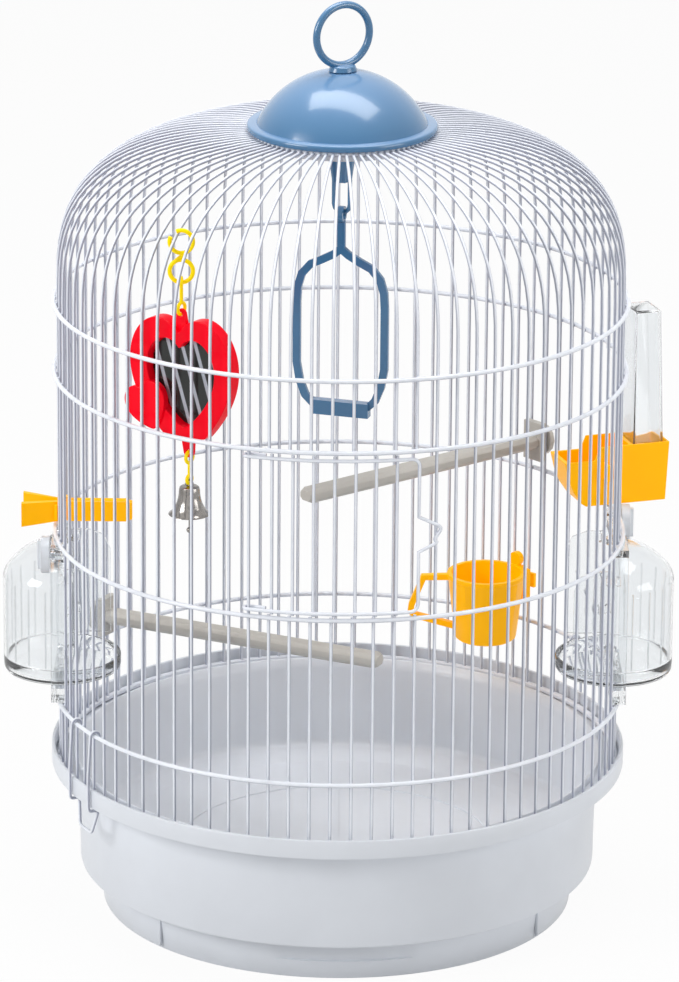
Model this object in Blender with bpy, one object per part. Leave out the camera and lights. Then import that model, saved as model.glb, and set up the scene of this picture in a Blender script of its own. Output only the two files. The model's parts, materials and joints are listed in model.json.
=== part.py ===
"""A round wire bird cage with its tray, door, swing, toy, feeders, cup and perches.

Metres, +Z up. The origin is the middle of the tray's foot, on the surface that the cage stands on.
The door faces -Y. An azimuth is measured from -Y toward +X, in degrees. A wall frame is a local frame
at an azimuth: x points outward through the wall, y runs along the wall to the right as seen from
outside, and z is up.
"""
import math

import bmesh
import bpy
from mathutils import Matrix, Vector

# Clearances
GAP = 0.0003            # between pieces that touch or run on each other
SLACK = 0.0006          # round a wire that something hooks over

# Upright wires of the cage
WIRE_COUNT = 87
WIRE_FIRST_AZIMUTH = -1.427
WIRE_D = 0.0018
CAGE_R = 0.158          # to the middle of the wires
SHOULDER_RISE = 0.0106  # from the top hoop to where the wires start to bend in
DOME_HEIGHT = 0.0851
SHOULDER_INSET = 0.01445
SHOULDER_SQUARENESS = 2.7
SHOULDER_STEPS = 4

# Rings that the wires end in
CROWN_RING_R = 0.049
CROWN_RING_WIDTH = 0.003
CROWN_RING_HEIGHT = 0.0021
FOOT_RING_WIDTH = 0.0032
FOOT_RING_HEIGHT = 0.0026

# Hoops outside the wires, from the top down
HOOP_D = 0.0025
LOW_BAND_HEIGHT = 0.0314    # from the tray's rim to the lowest hoop
FEEDER_BAND_HEIGHT = 0.0951
DOOR_BAND_HEIGHT = 0.0948
TOP_BAND_HEIGHT = 0.0402
HOOP_SEGMENTS = 40

# Wires that are cut for an opening, counted from the wire next to the front, and the last one
DOOR_WIRES = (-3, 4)
LEFT_FEEDER_WIRES = (-24, -19)
RIGHT_FEEDER_WIRES = (20, 25)
HOPPER_WIRES = (26, 27)

# Tray
TRAY_RIM_REACH = 0.0052     # outside the middle of the wires
TRAY_RIM_WALL = 0.0022
TRAY_RIM_TOP_Z = 0.093
TRAY_RIM_HEIGHT = 0.011
TRAY_WALL_INSET = 0.010     # inside the middle of the wires
TRAY_WALL_DRAFT = 0.001
TRAY_HEEL_HEIGHT = 0.003
TRAY_FOOT_INSET = 0.0107
TRAY_FOOT_DRAFT = 0.0023
TRAY_FOOT_TOP_Z = 0.022
TRAY_SKIN = 0.002
TRAY_FOOT_WALL = 0.0032
GUTTER_FLOOR_THICKNESS = 0.0022
GUTTER_LIP_STEP = 0.0005
GUTTER_LIP_HEIGHT = 0.0038
TRAY_LEDGE_INSET = 0.007
TRAY_LEDGE_WIDTH = 0.010
TRAY_LEDGE_RISE = 0.005
TRAY_LEDGE_SLOPE_RISE = 0.004
TRAY_FLOOR_RISE = 0.007     # over the top of the foot
TRAY_DISC_R = 0.090
TRAY_DISC_DEPTH = 0.001
TRAY_SEAM_WIDTH = 0.0024
TRAY_SEAM_HEIGHT = 0.0006
TRAY_SEGMENTS = 40
FOOT_SLOT_AZIMUTHS = (-13.7, 17.0)
FOOT_SLOT_DROP = 0.0029     # from the top of the foot
FOOT_SLOT_HEIGHT = 0.0084
FOOT_SLOT_DEPTH = 0.0013
FOOT_SLOT_RIB_WIDTH = 0.0012
FOOT_SLOT_STEPS = 5
FOOT_RIB_AZIMUTHS = (-46.6, 56.5, 133.4, -123.5)
FOOT_RIB_WIDTH = 0.0018
FOOT_RIB_DEPTH = 0.0008

# Cap, the disc below it and the ring above it
CAP_BRIM_REACH = 0.004      # outside the middle of the crown ring
CAP_BRIM_HEIGHT = 0.0038
CAP_BRIM_ROUND = 0.0012
CAP_BRIM_LIFT = 0.0004
CAP_BRIM_WIDTH = 0.0055
CAP_DOME_RISE = 0.0298
CAP_WALL = 0.0022
CAP_LAND_R = 0.0088
CAP_STEPS = 6
CAP_SEGMENTS = 24
CAP_BOSS_R = 0.0072
RING_R = 0.0169
RING_WIRE_R = 0.0021
RING_SINK = 0.0020          # of the ring's wire into its collar
RING_YAW = 31
RING_STEPS = 20
RING_SIDES = 7
RING_COLLAR_SHARE = 0.88
RING_COLLAR_R = 0.0082
RING_COLLAR_HEIGHT = 0.0036
RING_STEM_R = 0.003
RING_CATCH_R = 0.0044
RING_CATCH_HEIGHT = 0.002
DISC_REACH = 0.0005
DISC_THICKNESS = 0.003

# Plug that screws up through the disc into the cap, with the swing's eye
PLUG_SHANK_R = 0.0044
PLUG_SHANK_LENGTH = 0.0241   # over the disc
PLUG_FLANGE_R = 0.0098
PLUG_FLANGE_THICKNESS = 0.0028
PLUG_TOP_R = 0.0080
PLUG_LOW_R = 0.0055
PLUG_LENGTH = 0.0269        # below the disc's top
PLUG_TAPER_HEIGHT = 0.018
PLUG_FINS = 10
PLUG_FIN_SHARE = 0.84
EYE_HALF_WIDTH = 0.0047
EYE_WIRE_R = 0.0013
EYE_DROP = 0.0194           # below the plug

# Swing
SWING_YAW = -17
SWING_STRAP_WIDTH = 0.0044
SWING_STRAP_DEPTH = 0.0025
SWING_STEM_DEPTH = 0.0023
SWING_HOOK_WIDTH = 0.0034
SWING_HOOK_THICKNESS = 0.0018
SWING_HOOK_INNER_R = 0.0029
SWING_NECK_DROP = 0.0209    # below the pivot
SWING_HALF_WIDTH = 0.02565
SWING_SHOULDER_HEIGHT = 0.033
SWING_SIDE_LENGTH = 0.035
SWING_HEEL_HEIGHT = 0.02475
SWING_BAR_HEIGHT = 0.0083
SWING_BAR_DEPTH = 0.006
SWING_BAR_HALF_LENGTH = 0.017
SWING_SHOULDER_SHARES = ((0, 0), (0.16, 0.10), (0.42, 0.21), (0.69, 0.31), (0.89, 0.49), (0.98, 0.72), (1, 1))
SWING_HEEL_SHARES = ((0.93, 0.42), (0.80, 0.76), (0.56, 1))

# Door
DOOR_HINGE_WIRE = -4
DOOR_WIRE_R = 0.001
DOOR_BAR_R = 0.0009
DOOR_STEP = 0.0025          # from the cage's wires out to the door's frame wire
DOOR_BAR_SINK = 0.0004
DOOR_TOP_DROP = 0.0043      # below the middle of the hoop over the door
DOOR_LOW_RISE = 0.0038      # over the middle of the hoop under the door
DOOR_BAR_NUB = 0.0011
DOOR_BAR_AZIMUTHS = (-13.18, -9.04, -4.98, -0.90, 3.18, 7.17, 11.22)
DOOR_EDGE_AZIMUTH = 15.5
DOOR_CORNER_R = 0.0042
DOOR_CORNER_STEPS = 3
DOOR_TAIL_LENGTH = 0.009
DOOR_TONGUE_SHARE = 0.498
DOOR_TONGUE_SHARES = ((0, 1), (0.85, 0.47), (1, 0.27), (0.68, -0.28), (0.83, -0.46), (0, -0.9))
DOOR_TONGUE_REACH_AZIMUTH = 20.1
DOOR_TONGUE_HALF_HEIGHT = 0.0105
DOOR_ARC_STEPS = 8
DOOR_CURL_STEPS = 5

# Toy: an open double hook, a link, a heart with a mirror, a link, a bell and its clapper
TOY_WIRE = -9
TOY_HANG_INSET = 0.0155     # inside the middle of the upright wires
TOY_SIDE_STEP = 0.003
TOY_DROP = 0.0024
TOY_CURL_R = 0.0063
TOY_CURL_WIRE_R = 0.0012
TOY_CURL_PITCH = 0.0164
TOY_CURL_OPEN = (115, -205)
TOY_BRIDGE = (-50, 140)
TOY_CURL_STEPS = 14
HEART_YAW = -35
HEART_ROLL = 4
HEART_WIDTH = 0.068
HEART_HEIGHT = 0.0751       # to the point that the outline would have
HEART_BLUNT = 0.009
HEART_DEPTH = 0.008
HEART_POINTS = 26
HEART_HANG = 0.0178
HEART_X_SHARES = (1, -0.1, -0.2)
HEART_Z_SHARES = (13, -3.2, -1.5, -0.3)
HEART_LOBE_DROP = 0.002
HEART_OPENING_WIDTH = 0.045
HEART_OPENING_HEIGHT = 0.049
HEART_OPENING_DROP = 0.0112
HEART_TAB_THICKNESS = 0.0024
HEART_TAB_WIDTH = 0.0064
HEART_TAB_ROOT_WIDTH = 0.0105
HEART_TAB_EDGE = 0.003
HEART_TAB_HOLE_R = 0.0016
HEART_TAB_ROOT = 0.0105
HEART_LOW_TAB_LENGTH = 0.0088
HEART_LOW_TAB_ROOT = 0.0035
HEART_BACK_LEDGE = 0.001
HEART_LEDGE_WIDTH = 0.0018
MIRROR_THICKNESS = 0.002
MIRROR_CLEARANCE = 0.0005
CHARM_WIDTH = 0.0275
CHARM_HEIGHT = 0.026
CHARM_SIDE = 0.0235
CHARM_DROP = 0.0379
CHARM_POINTS = 18
CHARM_TILT = 20
CHARM_DEPTH = 0.0042
CHARM_PROUD = 0.0014
LINK_WIRE_R = 0.001
LINK_TAB_LOOP_R = 0.0032
LINK_LOOP_R = 0.0026
LINK_SMALL_LOOP_R = 0.0023
BELL_LINK_STEM = 0.0072
BELL_HEIGHT = 0.0162
BELL_TOP_R = 0.0056
BELL_WALL = 0.0008
BELL_EYE_R = 0.0021
BELL_EYE_WIRE_R = 0.0007
BELL_SHAPE_SHARES = ((0.86, 0), (1.0, 0.06), (1.06, 0.30), (1.22, 0.58), (1.52, 0.80), (2.05, 1.0))
BELL_PIN_SHARE = 0.25
BELL_PIN_R = 0.0005
CLAPPER_LOOP_R = 0.0014
CLAPPER_WIRE_R = 0.0005
CLAPPER_LENGTH = 0.0215
CLAPPER_BALL_R = 0.0017

# Swivel feeders
FRAME_JAMB_WIDTH = 0.0028
FEEDER_SET_IN = 0.001       # of its axis inside the middle of the wires
FEEDER_WALL = 0.0016
FEEDER_SILL_HEIGHT = 0.0096  # over the middle of the hoop under it
DISH_HEIGHT = 0.009
DISH_FLOOR = 0.002
HOOD_SHOULDER_HEIGHT = 0.023
HOOD_DROP = 0.0065           # below the middle of the hoop over it
HOOD_SQUARENESS = 1.6
HOOD_STEPS = 4
HOOD_CROWN_SHARE = 1.2      # of the wall's thickness
HOOD_SEGMENTS = 12
DISH_SEGMENTS = 20
HOOD_HUB_R = 0.0066
HOOD_HUB_HEIGHT = 0.0034
DISH_CORNER = 0.003
PIVOT_R = 0.0028
PIVOT_LENGTH = 0.003
FRAME_PROUD = 0.0035        # outside the middle of the wires
FRAME_DEPTH = 0.0085
FRAME_SIDE_CLEARANCE = 0.0022
CHEEK_THICKNESS = 0.0018
CHEEK_REACH = 0.022
CHEEK_DROP = 0.008          # below the hood's top
CHEEK_RISE = 0.009          # over the dish's underside
CHEEK_CORNER_R = 0.012
CHEEK_CORNER_SHARE = 0.29   # of its radius, at the middle of the corner's arc
GRIP_RISES = (0.0226, 0.0664)  # over the dish's underside
GRIP_HALF_HEIGHT = 0.0025
GRIP_THICKNESS = 0.0024
GRIP_REACH = 0.0024
LOCK_R = 0.0105
LOCK_THICKNESS = 0.005
LOCK_SIDE_STEP = 0.0045     # of its middle inside the frame's jamb
LOCK_DROP = 0.001           # below the hood's top
LOCK_GRIP_SHARE = 0.8       # of the disc's radius
LOCK_PIN_R = 0.0022
LOCK_GRIP_HEIGHT = 0.0022
LOCK_GRIP_WIDTH = 0.003
LOCK_SEGMENTS = 14
GUSSET_HEIGHT = 0.010
GUSSET_WIDTH = 0.0135

# Outside hopper: a box through the wall with a trough inside, and a reservoir that lifts out
HOPPER_WIDTH = 0.025
HOPPER_LIFT = 0.0010        # over the hoop under it
HOPPER_HEIGHT = 0.0347
HOPPER_DRAFT = 0.0018
HOPPER_REACH = 0.0362       # outside the middle of the wires
HOPPER_WALL = 0.0013
HOPPER_PARTITION_STEP = 0.0118  # outside the middle of the wires
HOPPER_PARTITION_THICKNESS = 0.0026
HOPPER_PASSAGE_HEIGHT = 0.0112
TROUGH_REACH = 0.0272       # inside the middle of the wires
TROUGH_HEIGHT = 0.0270
TROUGH_CHEEK_WIDTH = 0.006
TROUGH_CHEEK_SLOPE = 0.003
TROUGH_CURVE_SHARES = ((0.18, 0.63), (0.43, 0.33), (0.79, 0.07), (1, 0))
TROUGH_CURVE_DEPTH = 0.0133
LUG_THICKNESS = 0.0019
LUG_RISE = 0.0158
LUG_HEIGHT = 0.010
LUG_REACH = 0.0068
RESERVOIR_HEIGHT = 0.0986
RESERVOIR_LIFT = 0.0142     # of its foot over the box's foot
RESERVOIR_WALL = 0.0012
RESERVOIR_TAPER = 0.0033
RESERVOIR_ROUND = 0.001
RESERVOIR_SIDE_TAPER = 0.0008

# Seed cup on its clip
CUP_CLIP_WIRE = 33.5
CUP_STAND_OFF = 0.0054      # of its rim from the middle of the wires
CUP_SIDE_STEP = 0.0027
CUP_RIM_R = 0.023
CUP_BOTTOM_R = 0.018
CUP_TOP_Z = 0.1603
CUP_BOTTOM_Z = 0.120
CUP_WALL = 0.0018
CUP_LIP = 0.0008
CUP_LIP_HEIGHT = 0.0024
CUP_CORNER = 0.0015
CUP_SEGMENTS = 20
HANDLE_DIRECTION = 180
HANDLE_WIDTH = 0.0042
HANDLE_THICKNESS = 0.0034
HANDLE_REACH = 0.022
HANDLE_SHARES = ((-0.064, 0.93), (0.62, 0.92), (0.93, 0.50), (0.95, 0.40), (0.84, 0.34), (-0.218, 0.18))
CLIP_TOP_Z = 0.158
CLIP_HEIGHT = 0.020
CLIP_HALF_WIDTH = 0.008
CLIP_THICKNESS = 0.0035
CLIP_POCKET_HALF_WIDTH = 0.0053
CLIP_POCKET_DEPTH = 0.016
CLIP_POCKET_THICKNESS = 0.0014
CLIP_SKIN = 0.0011
CLIP_NECK_HALF_WIDTH = 0.0036
CLIP_PLATE_HALF_WIDTH = 0.0085
CLIP_PLATE_HEIGHT = 0.0085
CLIP_PLATE_THICKNESS = 0.002
CLIP_PLATE_DROP = 0.012
KNOB_R = 0.0042
KNOB_RISE = 0.0034
KNOB_THICKNESS = 0.004
KNOB_SIDES = 14
HANGER_HALF_WIDTH = 0.004
HANGER_ROOT = 0.0016

# Perches: gap between wires, height, length, yaw away from the wall frame
PERCHES = (("upper", 32.5, 0.2386, 0.1705, -4.0), ("lower", -28.5, 0.1394, 0.1757, 4.0))
PERCH_WIDTH = 0.012
PERCH_HEIGHT = 0.008
PERCH_SECTION_SHARES = ((0.62, 1), (0.30, 0.93), (0, 1), (-0.30, 0.93), (-0.62, 1), (-1, 0.42),
                        (-1, -0.42), (-0.62, -1), (0, -1), (0.62, -1), (1, -0.42), (1, 0.42))
PERCH_PLATE_THICKNESS = 0.004
PERCH_PLATE_WIDTH = 0.014
PERCH_PLATE_HEIGHT = 0.023
PERCH_END_ROUND = 0.0025
PERCH_END_SHARE = 0.74
PERCH_STUD_R = 0.0036
PERCH_STUD_LENGTH = 0.0085
PERCH_NUT_R = 0.0095
PERCH_NUT_THICKNESS = 0.004
PERCH_NUT_SIDES = 12
PERCH_NUT_EDGE_SHARE = 0.7  # of its thickness
PERCH_NUT_FACE_SHARE = 0.8  # of its radius

# Treat peg through the wall
PEG_GAP = -21.5
PEG_Z = 0.2285
PEG_HEIGHT = 0.0115
PEG_FLARE_SHARE = 1.2       # of the arm's height, at the handle's end
PEG_TIP_SHARE = 0.85        # of the arm's height, at the jaw's tip
PEG_JAW_LENGTH = 0.0375
PEG_HANDLE_LENGTH = 0.0245
PEG_ARM_THICKNESS = 0.0037
PEG_TIP_THICKNESS = 0.0022
PEG_HANDLE_SPREAD = 0.0118
PEG_KNUCKLE_R = 0.0036
PEG_PIN_R = 0.0013
PEG_PIN_HEAD_R = 0.0022
PEG_PIN_HEAD_HEIGHT = 0.002
PEG_SET_IN = 0.0035         # of its pin inside the middle of the wires
PEG_CLAW_THICKNESS = 0.0015

# Tray clips
TRAY_CLIP_WIRES = (-14.5, 28.5)
TRAY_CLIP_WIRE_R = 0.0009
TRAY_CLIP_LIP_DROP = 0.0016
TRAY_CLIP_TUCK = 0.005
TRAY_CLIP_LOOP_DROP = 0.0165
TRAY_CLIP_LOOP_SHARE = 0.62
TRAY_CLIP_HOOK_START = 205
TRAY_CLIP_HOOK_STEPS = 5
TRAY_CLIP_SHOULDER = 0.006

# Facets of small round pieces
WIRE_SIDES = 4
BAR_SIDES = 5
LOOP_STEPS = 12
SMALL_SEGMENTS = 14
CREASE_ANGLE = math.radians(35)
MITRE_LIMIT_SHARE = 0.7
UPRIGHT_LIMIT_SHARE = 0.1

# Values that follow from those above
WIRE_R = WIRE_D / 2
HOOP_R = HOOP_D / 2
HOOP_CENTRE_R = CAGE_R + WIRE_R + GAP + HOOP_R
WIRE_STEP = 360 / WIRE_COUNT
OVERRUN = 0.002         # how far a cutter runs past the faces that it cuts

HOOP_LOW_Z = TRAY_RIM_TOP_Z + LOW_BAND_HEIGHT
HOOP_MIDDLE_Z = HOOP_LOW_Z + FEEDER_BAND_HEIGHT
HOOP_UPPER_Z = HOOP_MIDDLE_Z + DOOR_BAND_HEIGHT
HOOP_TOP_Z = HOOP_UPPER_Z + TOP_BAND_HEIGHT
SHOULDER_Z = HOOP_TOP_Z + SHOULDER_RISE
CROWN_Z = SHOULDER_Z + DOME_HEIGHT
SHOULDER_INNER_R = CROWN_RING_R - SHOULDER_INSET

TRAY_RIM_R = CAGE_R + TRAY_RIM_REACH
TRAY_WALL_TOP_R = CAGE_R - TRAY_WALL_INSET
TRAY_WALL_LOW_R = TRAY_WALL_TOP_R - TRAY_WALL_DRAFT
TRAY_FOOT_TOP_R = TRAY_WALL_LOW_R - TRAY_FOOT_INSET
TRAY_FOOT_R = TRAY_FOOT_TOP_R - TRAY_FOOT_DRAFT
TRAY_LEDGE_R = TRAY_WALL_LOW_R - TRAY_LEDGE_INSET
TRAY_FLOOR_R = TRAY_LEDGE_R - TRAY_LEDGE_WIDTH
TRAY_RIM_SKIRT_Z = TRAY_RIM_TOP_Z - TRAY_RIM_HEIGHT
TRAY_WALL_LOW_Z = TRAY_FOOT_TOP_Z + TRAY_HEEL_HEIGHT
TRAY_FLOOR_Z = TRAY_FOOT_TOP_Z + TRAY_FLOOR_RISE
TRAY_LEDGE_Z = TRAY_FLOOR_Z + TRAY_LEDGE_RISE
GUTTER_FLOOR_Z = TRAY_RIM_SKIRT_Z + GUTTER_FLOOR_THICKNESS
GUTTER_LIP_Z = GUTTER_FLOOR_Z + GUTTER_LIP_HEIGHT
FOOT_SLOT_Z = TRAY_FOOT_TOP_Z - FOOT_SLOT_DROP - FOOT_SLOT_HEIGHT

DISC_TOP_Z = CROWN_Z - CROWN_RING_HEIGHT / 2 - GAP
DISC_R = CROWN_RING_R + DISC_REACH
CAP_BRIM_R = CROWN_RING_R + CAP_BRIM_REACH
CAP_DOME_R = CAP_BRIM_R - CAP_BRIM_WIDTH
CAP_BASE_Z = CROWN_Z + CROWN_RING_HEIGHT / 2 + CAP_BRIM_LIFT
CAP_SPHERE_R = (CAP_DOME_R ** 2 + CAP_DOME_RISE ** 2) / (2 * CAP_DOME_RISE)
CAP_SPHERE_Z = CAP_BASE_Z + CAP_BRIM_HEIGHT + CAP_DOME_RISE - CAP_SPHERE_R
CAP_LAND_Z = CAP_SPHERE_Z + math.sqrt(CAP_SPHERE_R ** 2 - CAP_LAND_R ** 2)
RING_COLLAR_TOP_Z = CAP_LAND_Z + RING_COLLAR_HEIGHT
RING_CENTRE_Z = RING_COLLAR_TOP_Z + RING_R + RING_WIRE_R - RING_SINK
PLUG_SHANK_TOP_Z = DISC_TOP_Z + PLUG_SHANK_LENGTH
PLUG_LOW_Z = DISC_TOP_Z - PLUG_LENGTH
PLUG_TAPER_TOP_Z = PLUG_LOW_Z + PLUG_TAPER_HEIGHT
EYE_LOW_Z = PLUG_LOW_Z - EYE_DROP
SWING_NECK_Z = EYE_LOW_Z + EYE_WIRE_R - SWING_NECK_DROP
SWING_SIDE_TOP_Z = SWING_NECK_Z - SWING_SHOULDER_HEIGHT
SWING_SIDE_LOW_Z = SWING_SIDE_TOP_Z - SWING_SIDE_LENGTH
SWING_BAR_Z = SWING_SIDE_LOW_Z - SWING_HEEL_HEIGHT

DOOR_R = CAGE_R + DOOR_STEP
DOOR_TOP_Z = HOOP_UPPER_Z - DOOR_TOP_DROP
DOOR_LOW_Z = HOOP_MIDDLE_Z + DOOR_LOW_RISE
DOOR_TONGUE_Z = DOOR_LOW_Z + (DOOR_TOP_Z - DOOR_LOW_Z) * DOOR_TONGUE_SHARE
TOY_HANG_R = CAGE_R - TOY_HANG_INSET
HEART_DROP = HEART_LOBE_DROP + HEART_HEIGHT - HEART_BLUNT + HEART_LOW_TAB_LENGTH

FRAME_HALF_SPAN = math.radians(WIRE_STEP) * ((LEFT_FEEDER_WIRES[1] - LEFT_FEEDER_WIRES[0]) / 2 + 1)
FRAME_JAMB_OUT = CAGE_R * math.sin(FRAME_HALF_SPAN) - WIRE_R - GAP
FRAME_JAMB_IN = FRAME_JAMB_OUT - FRAME_JAMB_WIDTH
FRAME_OUTER_R = CAGE_R + FRAME_PROUD
FRAME_INNER_R = FRAME_OUTER_R - FRAME_DEPTH
FEEDER_R = FRAME_JAMB_IN - FRAME_SIDE_CLEARANCE
FEEDER_AXIS_R = CAGE_R - FEEDER_SET_IN
FEEDER_FLOOR_Z = HOOP_LOW_Z + FEEDER_SILL_HEIGHT
DISH_RIM_Z = FEEDER_FLOOR_Z + DISH_HEIGHT
HOOD_TOP_Z = HOOP_MIDDLE_Z - HOOD_DROP
HOOD_SHOULDER_Z = HOOD_TOP_Z - HOOD_SHOULDER_HEIGHT
CHEEK_INNER_R = FRAME_INNER_R - CHEEK_REACH
CHEEK_TOP_Z = HOOD_TOP_Z - CHEEK_DROP
CHEEK_LOW_Z = FEEDER_FLOOR_Z + CHEEK_RISE
GUSSET_LOW_Z = HOOD_TOP_Z - GUSSET_HEIGHT
GUSSET_INNER = FRAME_JAMB_IN - GUSSET_WIDTH
LOCK_Z = HOOD_TOP_Z - LOCK_DROP
LOCK_OFFSET = FRAME_JAMB_IN - LOCK_SIDE_STEP

HOPPER_LOW_Z = HOOP_MIDDLE_Z + HOOP_R + HOPPER_LIFT
HOPPER_TOP_Z = HOPPER_LOW_Z + HOPPER_HEIGHT
HOPPER_OUTER_R = CAGE_R + HOPPER_REACH
HOPPER_PARTITION_R = CAGE_R + HOPPER_PARTITION_STEP
HOPPER_PASSAGE_Z = HOPPER_LOW_Z + HOPPER_PASSAGE_HEIGHT
TROUGH_INNER_R = CAGE_R - TROUGH_REACH
TROUGH_TOP_Z = HOPPER_LOW_Z + TROUGH_HEIGHT
LUG_Z = HOPPER_LOW_Z + LUG_RISE
RESERVOIR_LOW_Z = HOPPER_LOW_Z + RESERVOIR_LIFT
RESERVOIR_TOP_Z = RESERVOIR_LOW_Z + RESERVOIR_HEIGHT
CUP_CENTRE_R = CAGE_R - CUP_RIM_R - CUP_STAND_OFF
PEG_AXIS_R = CAGE_R - PEG_SET_IN


def wire_azimuth(index):
    """Azimuth in radians of a wire, or of a gap between two wires for a half index."""
    return math.radians(WIRE_FIRST_AZIMUTH + index * WIRE_STEP)


def wall_matrix(azimuth):
    """Turns the wall frame at an azimuth in radians into world axes."""
    outward = Vector((math.sin(azimuth), -math.cos(azimuth), 0))
    along = Vector((math.cos(azimuth), math.sin(azimuth), 0))
    return Matrix((outward, along, (0, 0, 1))).transposed().to_4x4()


def cage_point(azimuth, radius, z):
    """A point at a radius and height above an azimuth in radians."""
    return Vector((radius * math.sin(azimuth), -radius * math.cos(azimuth), z))


def shoulder_radius_and_z(turn):
    """A point of the rounded shoulder that the wires follow, by its turn in radians."""
    power = 2 / SHOULDER_SQUARENESS
    reach = CAGE_R - SHOULDER_INNER_R
    rise = CROWN_Z - SHOULDER_Z
    radius = SHOULDER_INNER_R + reach * math.cos(turn) ** power
    return radius, SHOULDER_Z + rise * math.sin(turn) ** power


def shoulder_turn(radius):
    """The turn in radians at which the shoulder has a radius."""
    share = (radius - SHOULDER_INNER_R) / (CAGE_R - SHOULDER_INNER_R)
    return math.acos(share ** (SHOULDER_SQUARENESS / 2))


def closed(bm):
    """Points the faces of closed bodies outward."""
    bmesh.ops.recalc_face_normals(bm, faces=bm.faces)
    return bm


def moved(bm, matrix):
    """The same body after a transform."""
    bmesh.ops.transform(bm, matrix=matrix, verts=bm.verts)
    return bm


def joined(bodies):
    """One mesh of several bodies that don't meet."""
    result = bmesh.new()
    for body in bodies:
        mesh = bpy.data.meshes.new("body")
        body.to_mesh(mesh)
        body.free()
        result.from_mesh(mesh)
        bpy.data.meshes.remove(mesh)
    return result


def skin_rings(bm, rings, loop):
    """Faces between rings of vertices; a ring of one vertex is a pole, loop joins the last to the first."""
    pairs = list(zip(rings, rings[1:]))
    if loop:
        pairs.append((rings[-1], rings[0]))
    for first, second in pairs:
        count = max(len(first), len(second))
        for i in range(count):
            j = (i + 1) % count
            if len(first) == 1:
                bm.faces.new((first[0], second[j], second[i]))
            elif len(second) == 1:
                bm.faces.new((first[i], first[j], second[0]))
            else:
                bm.faces.new((first[i], first[j], second[j], second[i]))


def block(x0, x1, y0, y1, z0, z1):
    """A box between two corners."""
    bm = bmesh.new()
    size = Vector((x1 - x0, y1 - y0, z1 - z0))
    middle = Vector((x0 + x1, y0 + y1, z0 + z1)) / 2
    bmesh.ops.create_cube(bm, size=1, matrix=Matrix.Translation(middle) @ Matrix.Diagonal(size.to_4d()))
    return closed(bm)


def turned(profile, segments):
    """A closed profile of radius and height, turned a full turn about Z. It may start and end on the axis."""
    bm = bmesh.new()
    rings = []
    for radius, z in profile:
        if radius == 0:
            rings.append([bm.verts.new((0, 0, z))])
            continue
        ring = []
        for i in range(segments):
            angle = math.tau * i / segments
            ring.append(bm.verts.new((radius * math.cos(angle), radius * math.sin(angle), z)))
        rings.append(ring)
    on_axis = len(rings[0]) == 1 and len(rings[-1]) == 1
    skin_rings(bm, rings, not on_axis)
    return closed(bm)


def turned_part(profile, segments, start, end):
    """A closed profile of radius and height off the axis, turned about Z between two angles in radians."""
    bm = bmesh.new()
    rings = []
    for i in range(segments + 1):
        angle = start + (end - start) * i / segments
        ring = [bm.verts.new((radius * math.cos(angle), radius * math.sin(angle), z))
                for radius, z in profile]
        rings.append(ring)
    skin_rings(bm, rings, False)
    bm.faces.new(rings[0])
    bm.faces.new(rings[-1])
    return closed(bm)


def cylinder(radius, z0, z1, sides):
    """A cylinder about Z."""
    return turned(((0, z0), (radius, z0), (radius, z1), (0, z1)), sides)


def prism(outline, depth0, depth1):
    """An outline in x and z, extruded along y."""
    bm = bmesh.new()
    near = [bm.verts.new((x, depth0, z)) for x, z in outline]
    far = [bm.verts.new((x, depth1, z)) for x, z in outline]
    skin_rings(bm, [near, far], False)
    bm.faces.new(near)
    bm.faces.new(far)
    return closed(bm)


def plan_prism(outline, z0, z1):
    """An outline in x and y, extruded along z."""
    bm = bmesh.new()
    low = [bm.verts.new((x, y, z0)) for x, y in outline]
    high = [bm.verts.new((x, y, z1)) for x, y in outline]
    skin_rings(bm, [low, high], False)
    bm.faces.new(low)
    bm.faces.new(high)
    return closed(bm)


def path_tangents(path, loop):
    """Unit directions along a path, each between its neighbours."""
    count = len(path)
    result = []
    for i in range(count):
        before = path[(i - 1) % count] if loop or i > 0 else path[i]
        after = path[(i + 1) % count] if loop or i < count - 1 else path[i]
        result.append((after - before).normalized())
    return result


def rod(path, radius, sides, loop=False, upright=Vector((0, 0, 1))):
    """A round bar along a path in space; its section is carried along without twist."""
    bm = bmesh.new()
    tangents = path_tangents(path, loop)
    side = tangents[0].cross(upright)
    if side.length < UPRIGHT_LIMIT_SHARE:
        side = tangents[0].orthogonal()
    side.normalize()
    rings = []
    for point, tangent in zip(path, tangents):
        side = (side - tangent * side.dot(tangent)).normalized()
        other = tangent.cross(side)
        ring = []
        for i in range(sides):
            angle = math.tau * i / sides
            ring.append(bm.verts.new(point + radius * (side * math.cos(angle) + other * math.sin(angle))))
        rings.append(ring)
    skin_rings(bm, rings, loop)
    if not loop:
        bm.faces.new(rings[0])
        bm.faces.new(rings[-1])
    return closed(bm)


def strap(path, width, depth, normal, loop=False):
    """A flat bar along a path that lies in the plane with this normal, mitred at its bends."""
    bm = bmesh.new()
    tangents = path_tangents(path, loop)
    rings = []
    for i, (point, tangent) in enumerate(zip(path, tangents)):
        side = tangent.cross(normal).normalized()
        leg = path[(i + 1) % len(path)] - point if i + 1 < len(path) or loop else point - path[i - 1]
        mitre = 1 / max(leg.normalized().dot(tangent), MITRE_LIMIT_SHARE)
        across = side * width * mitre / 2
        up = normal * depth / 2
        corners = (point - across - up, point + across - up, point + across + up, point - across + up)
        rings.append([bm.verts.new(corner) for corner in corners])
    skin_rings(bm, rings, loop)
    if not loop:
        bm.faces.new(rings[0])
        bm.faces.new(rings[-1])
    return closed(bm)


def arc(centre, radius, start, end, steps, right, up):
    """Points round a centre from one angle to another in radians, in the plane of two unit directions."""
    points = []
    for i in range(steps + 1):
        angle = start + (end - start) * i / steps
        points.append(centre + radius * (right * math.cos(angle) + up * math.sin(angle)))
    return points


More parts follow.
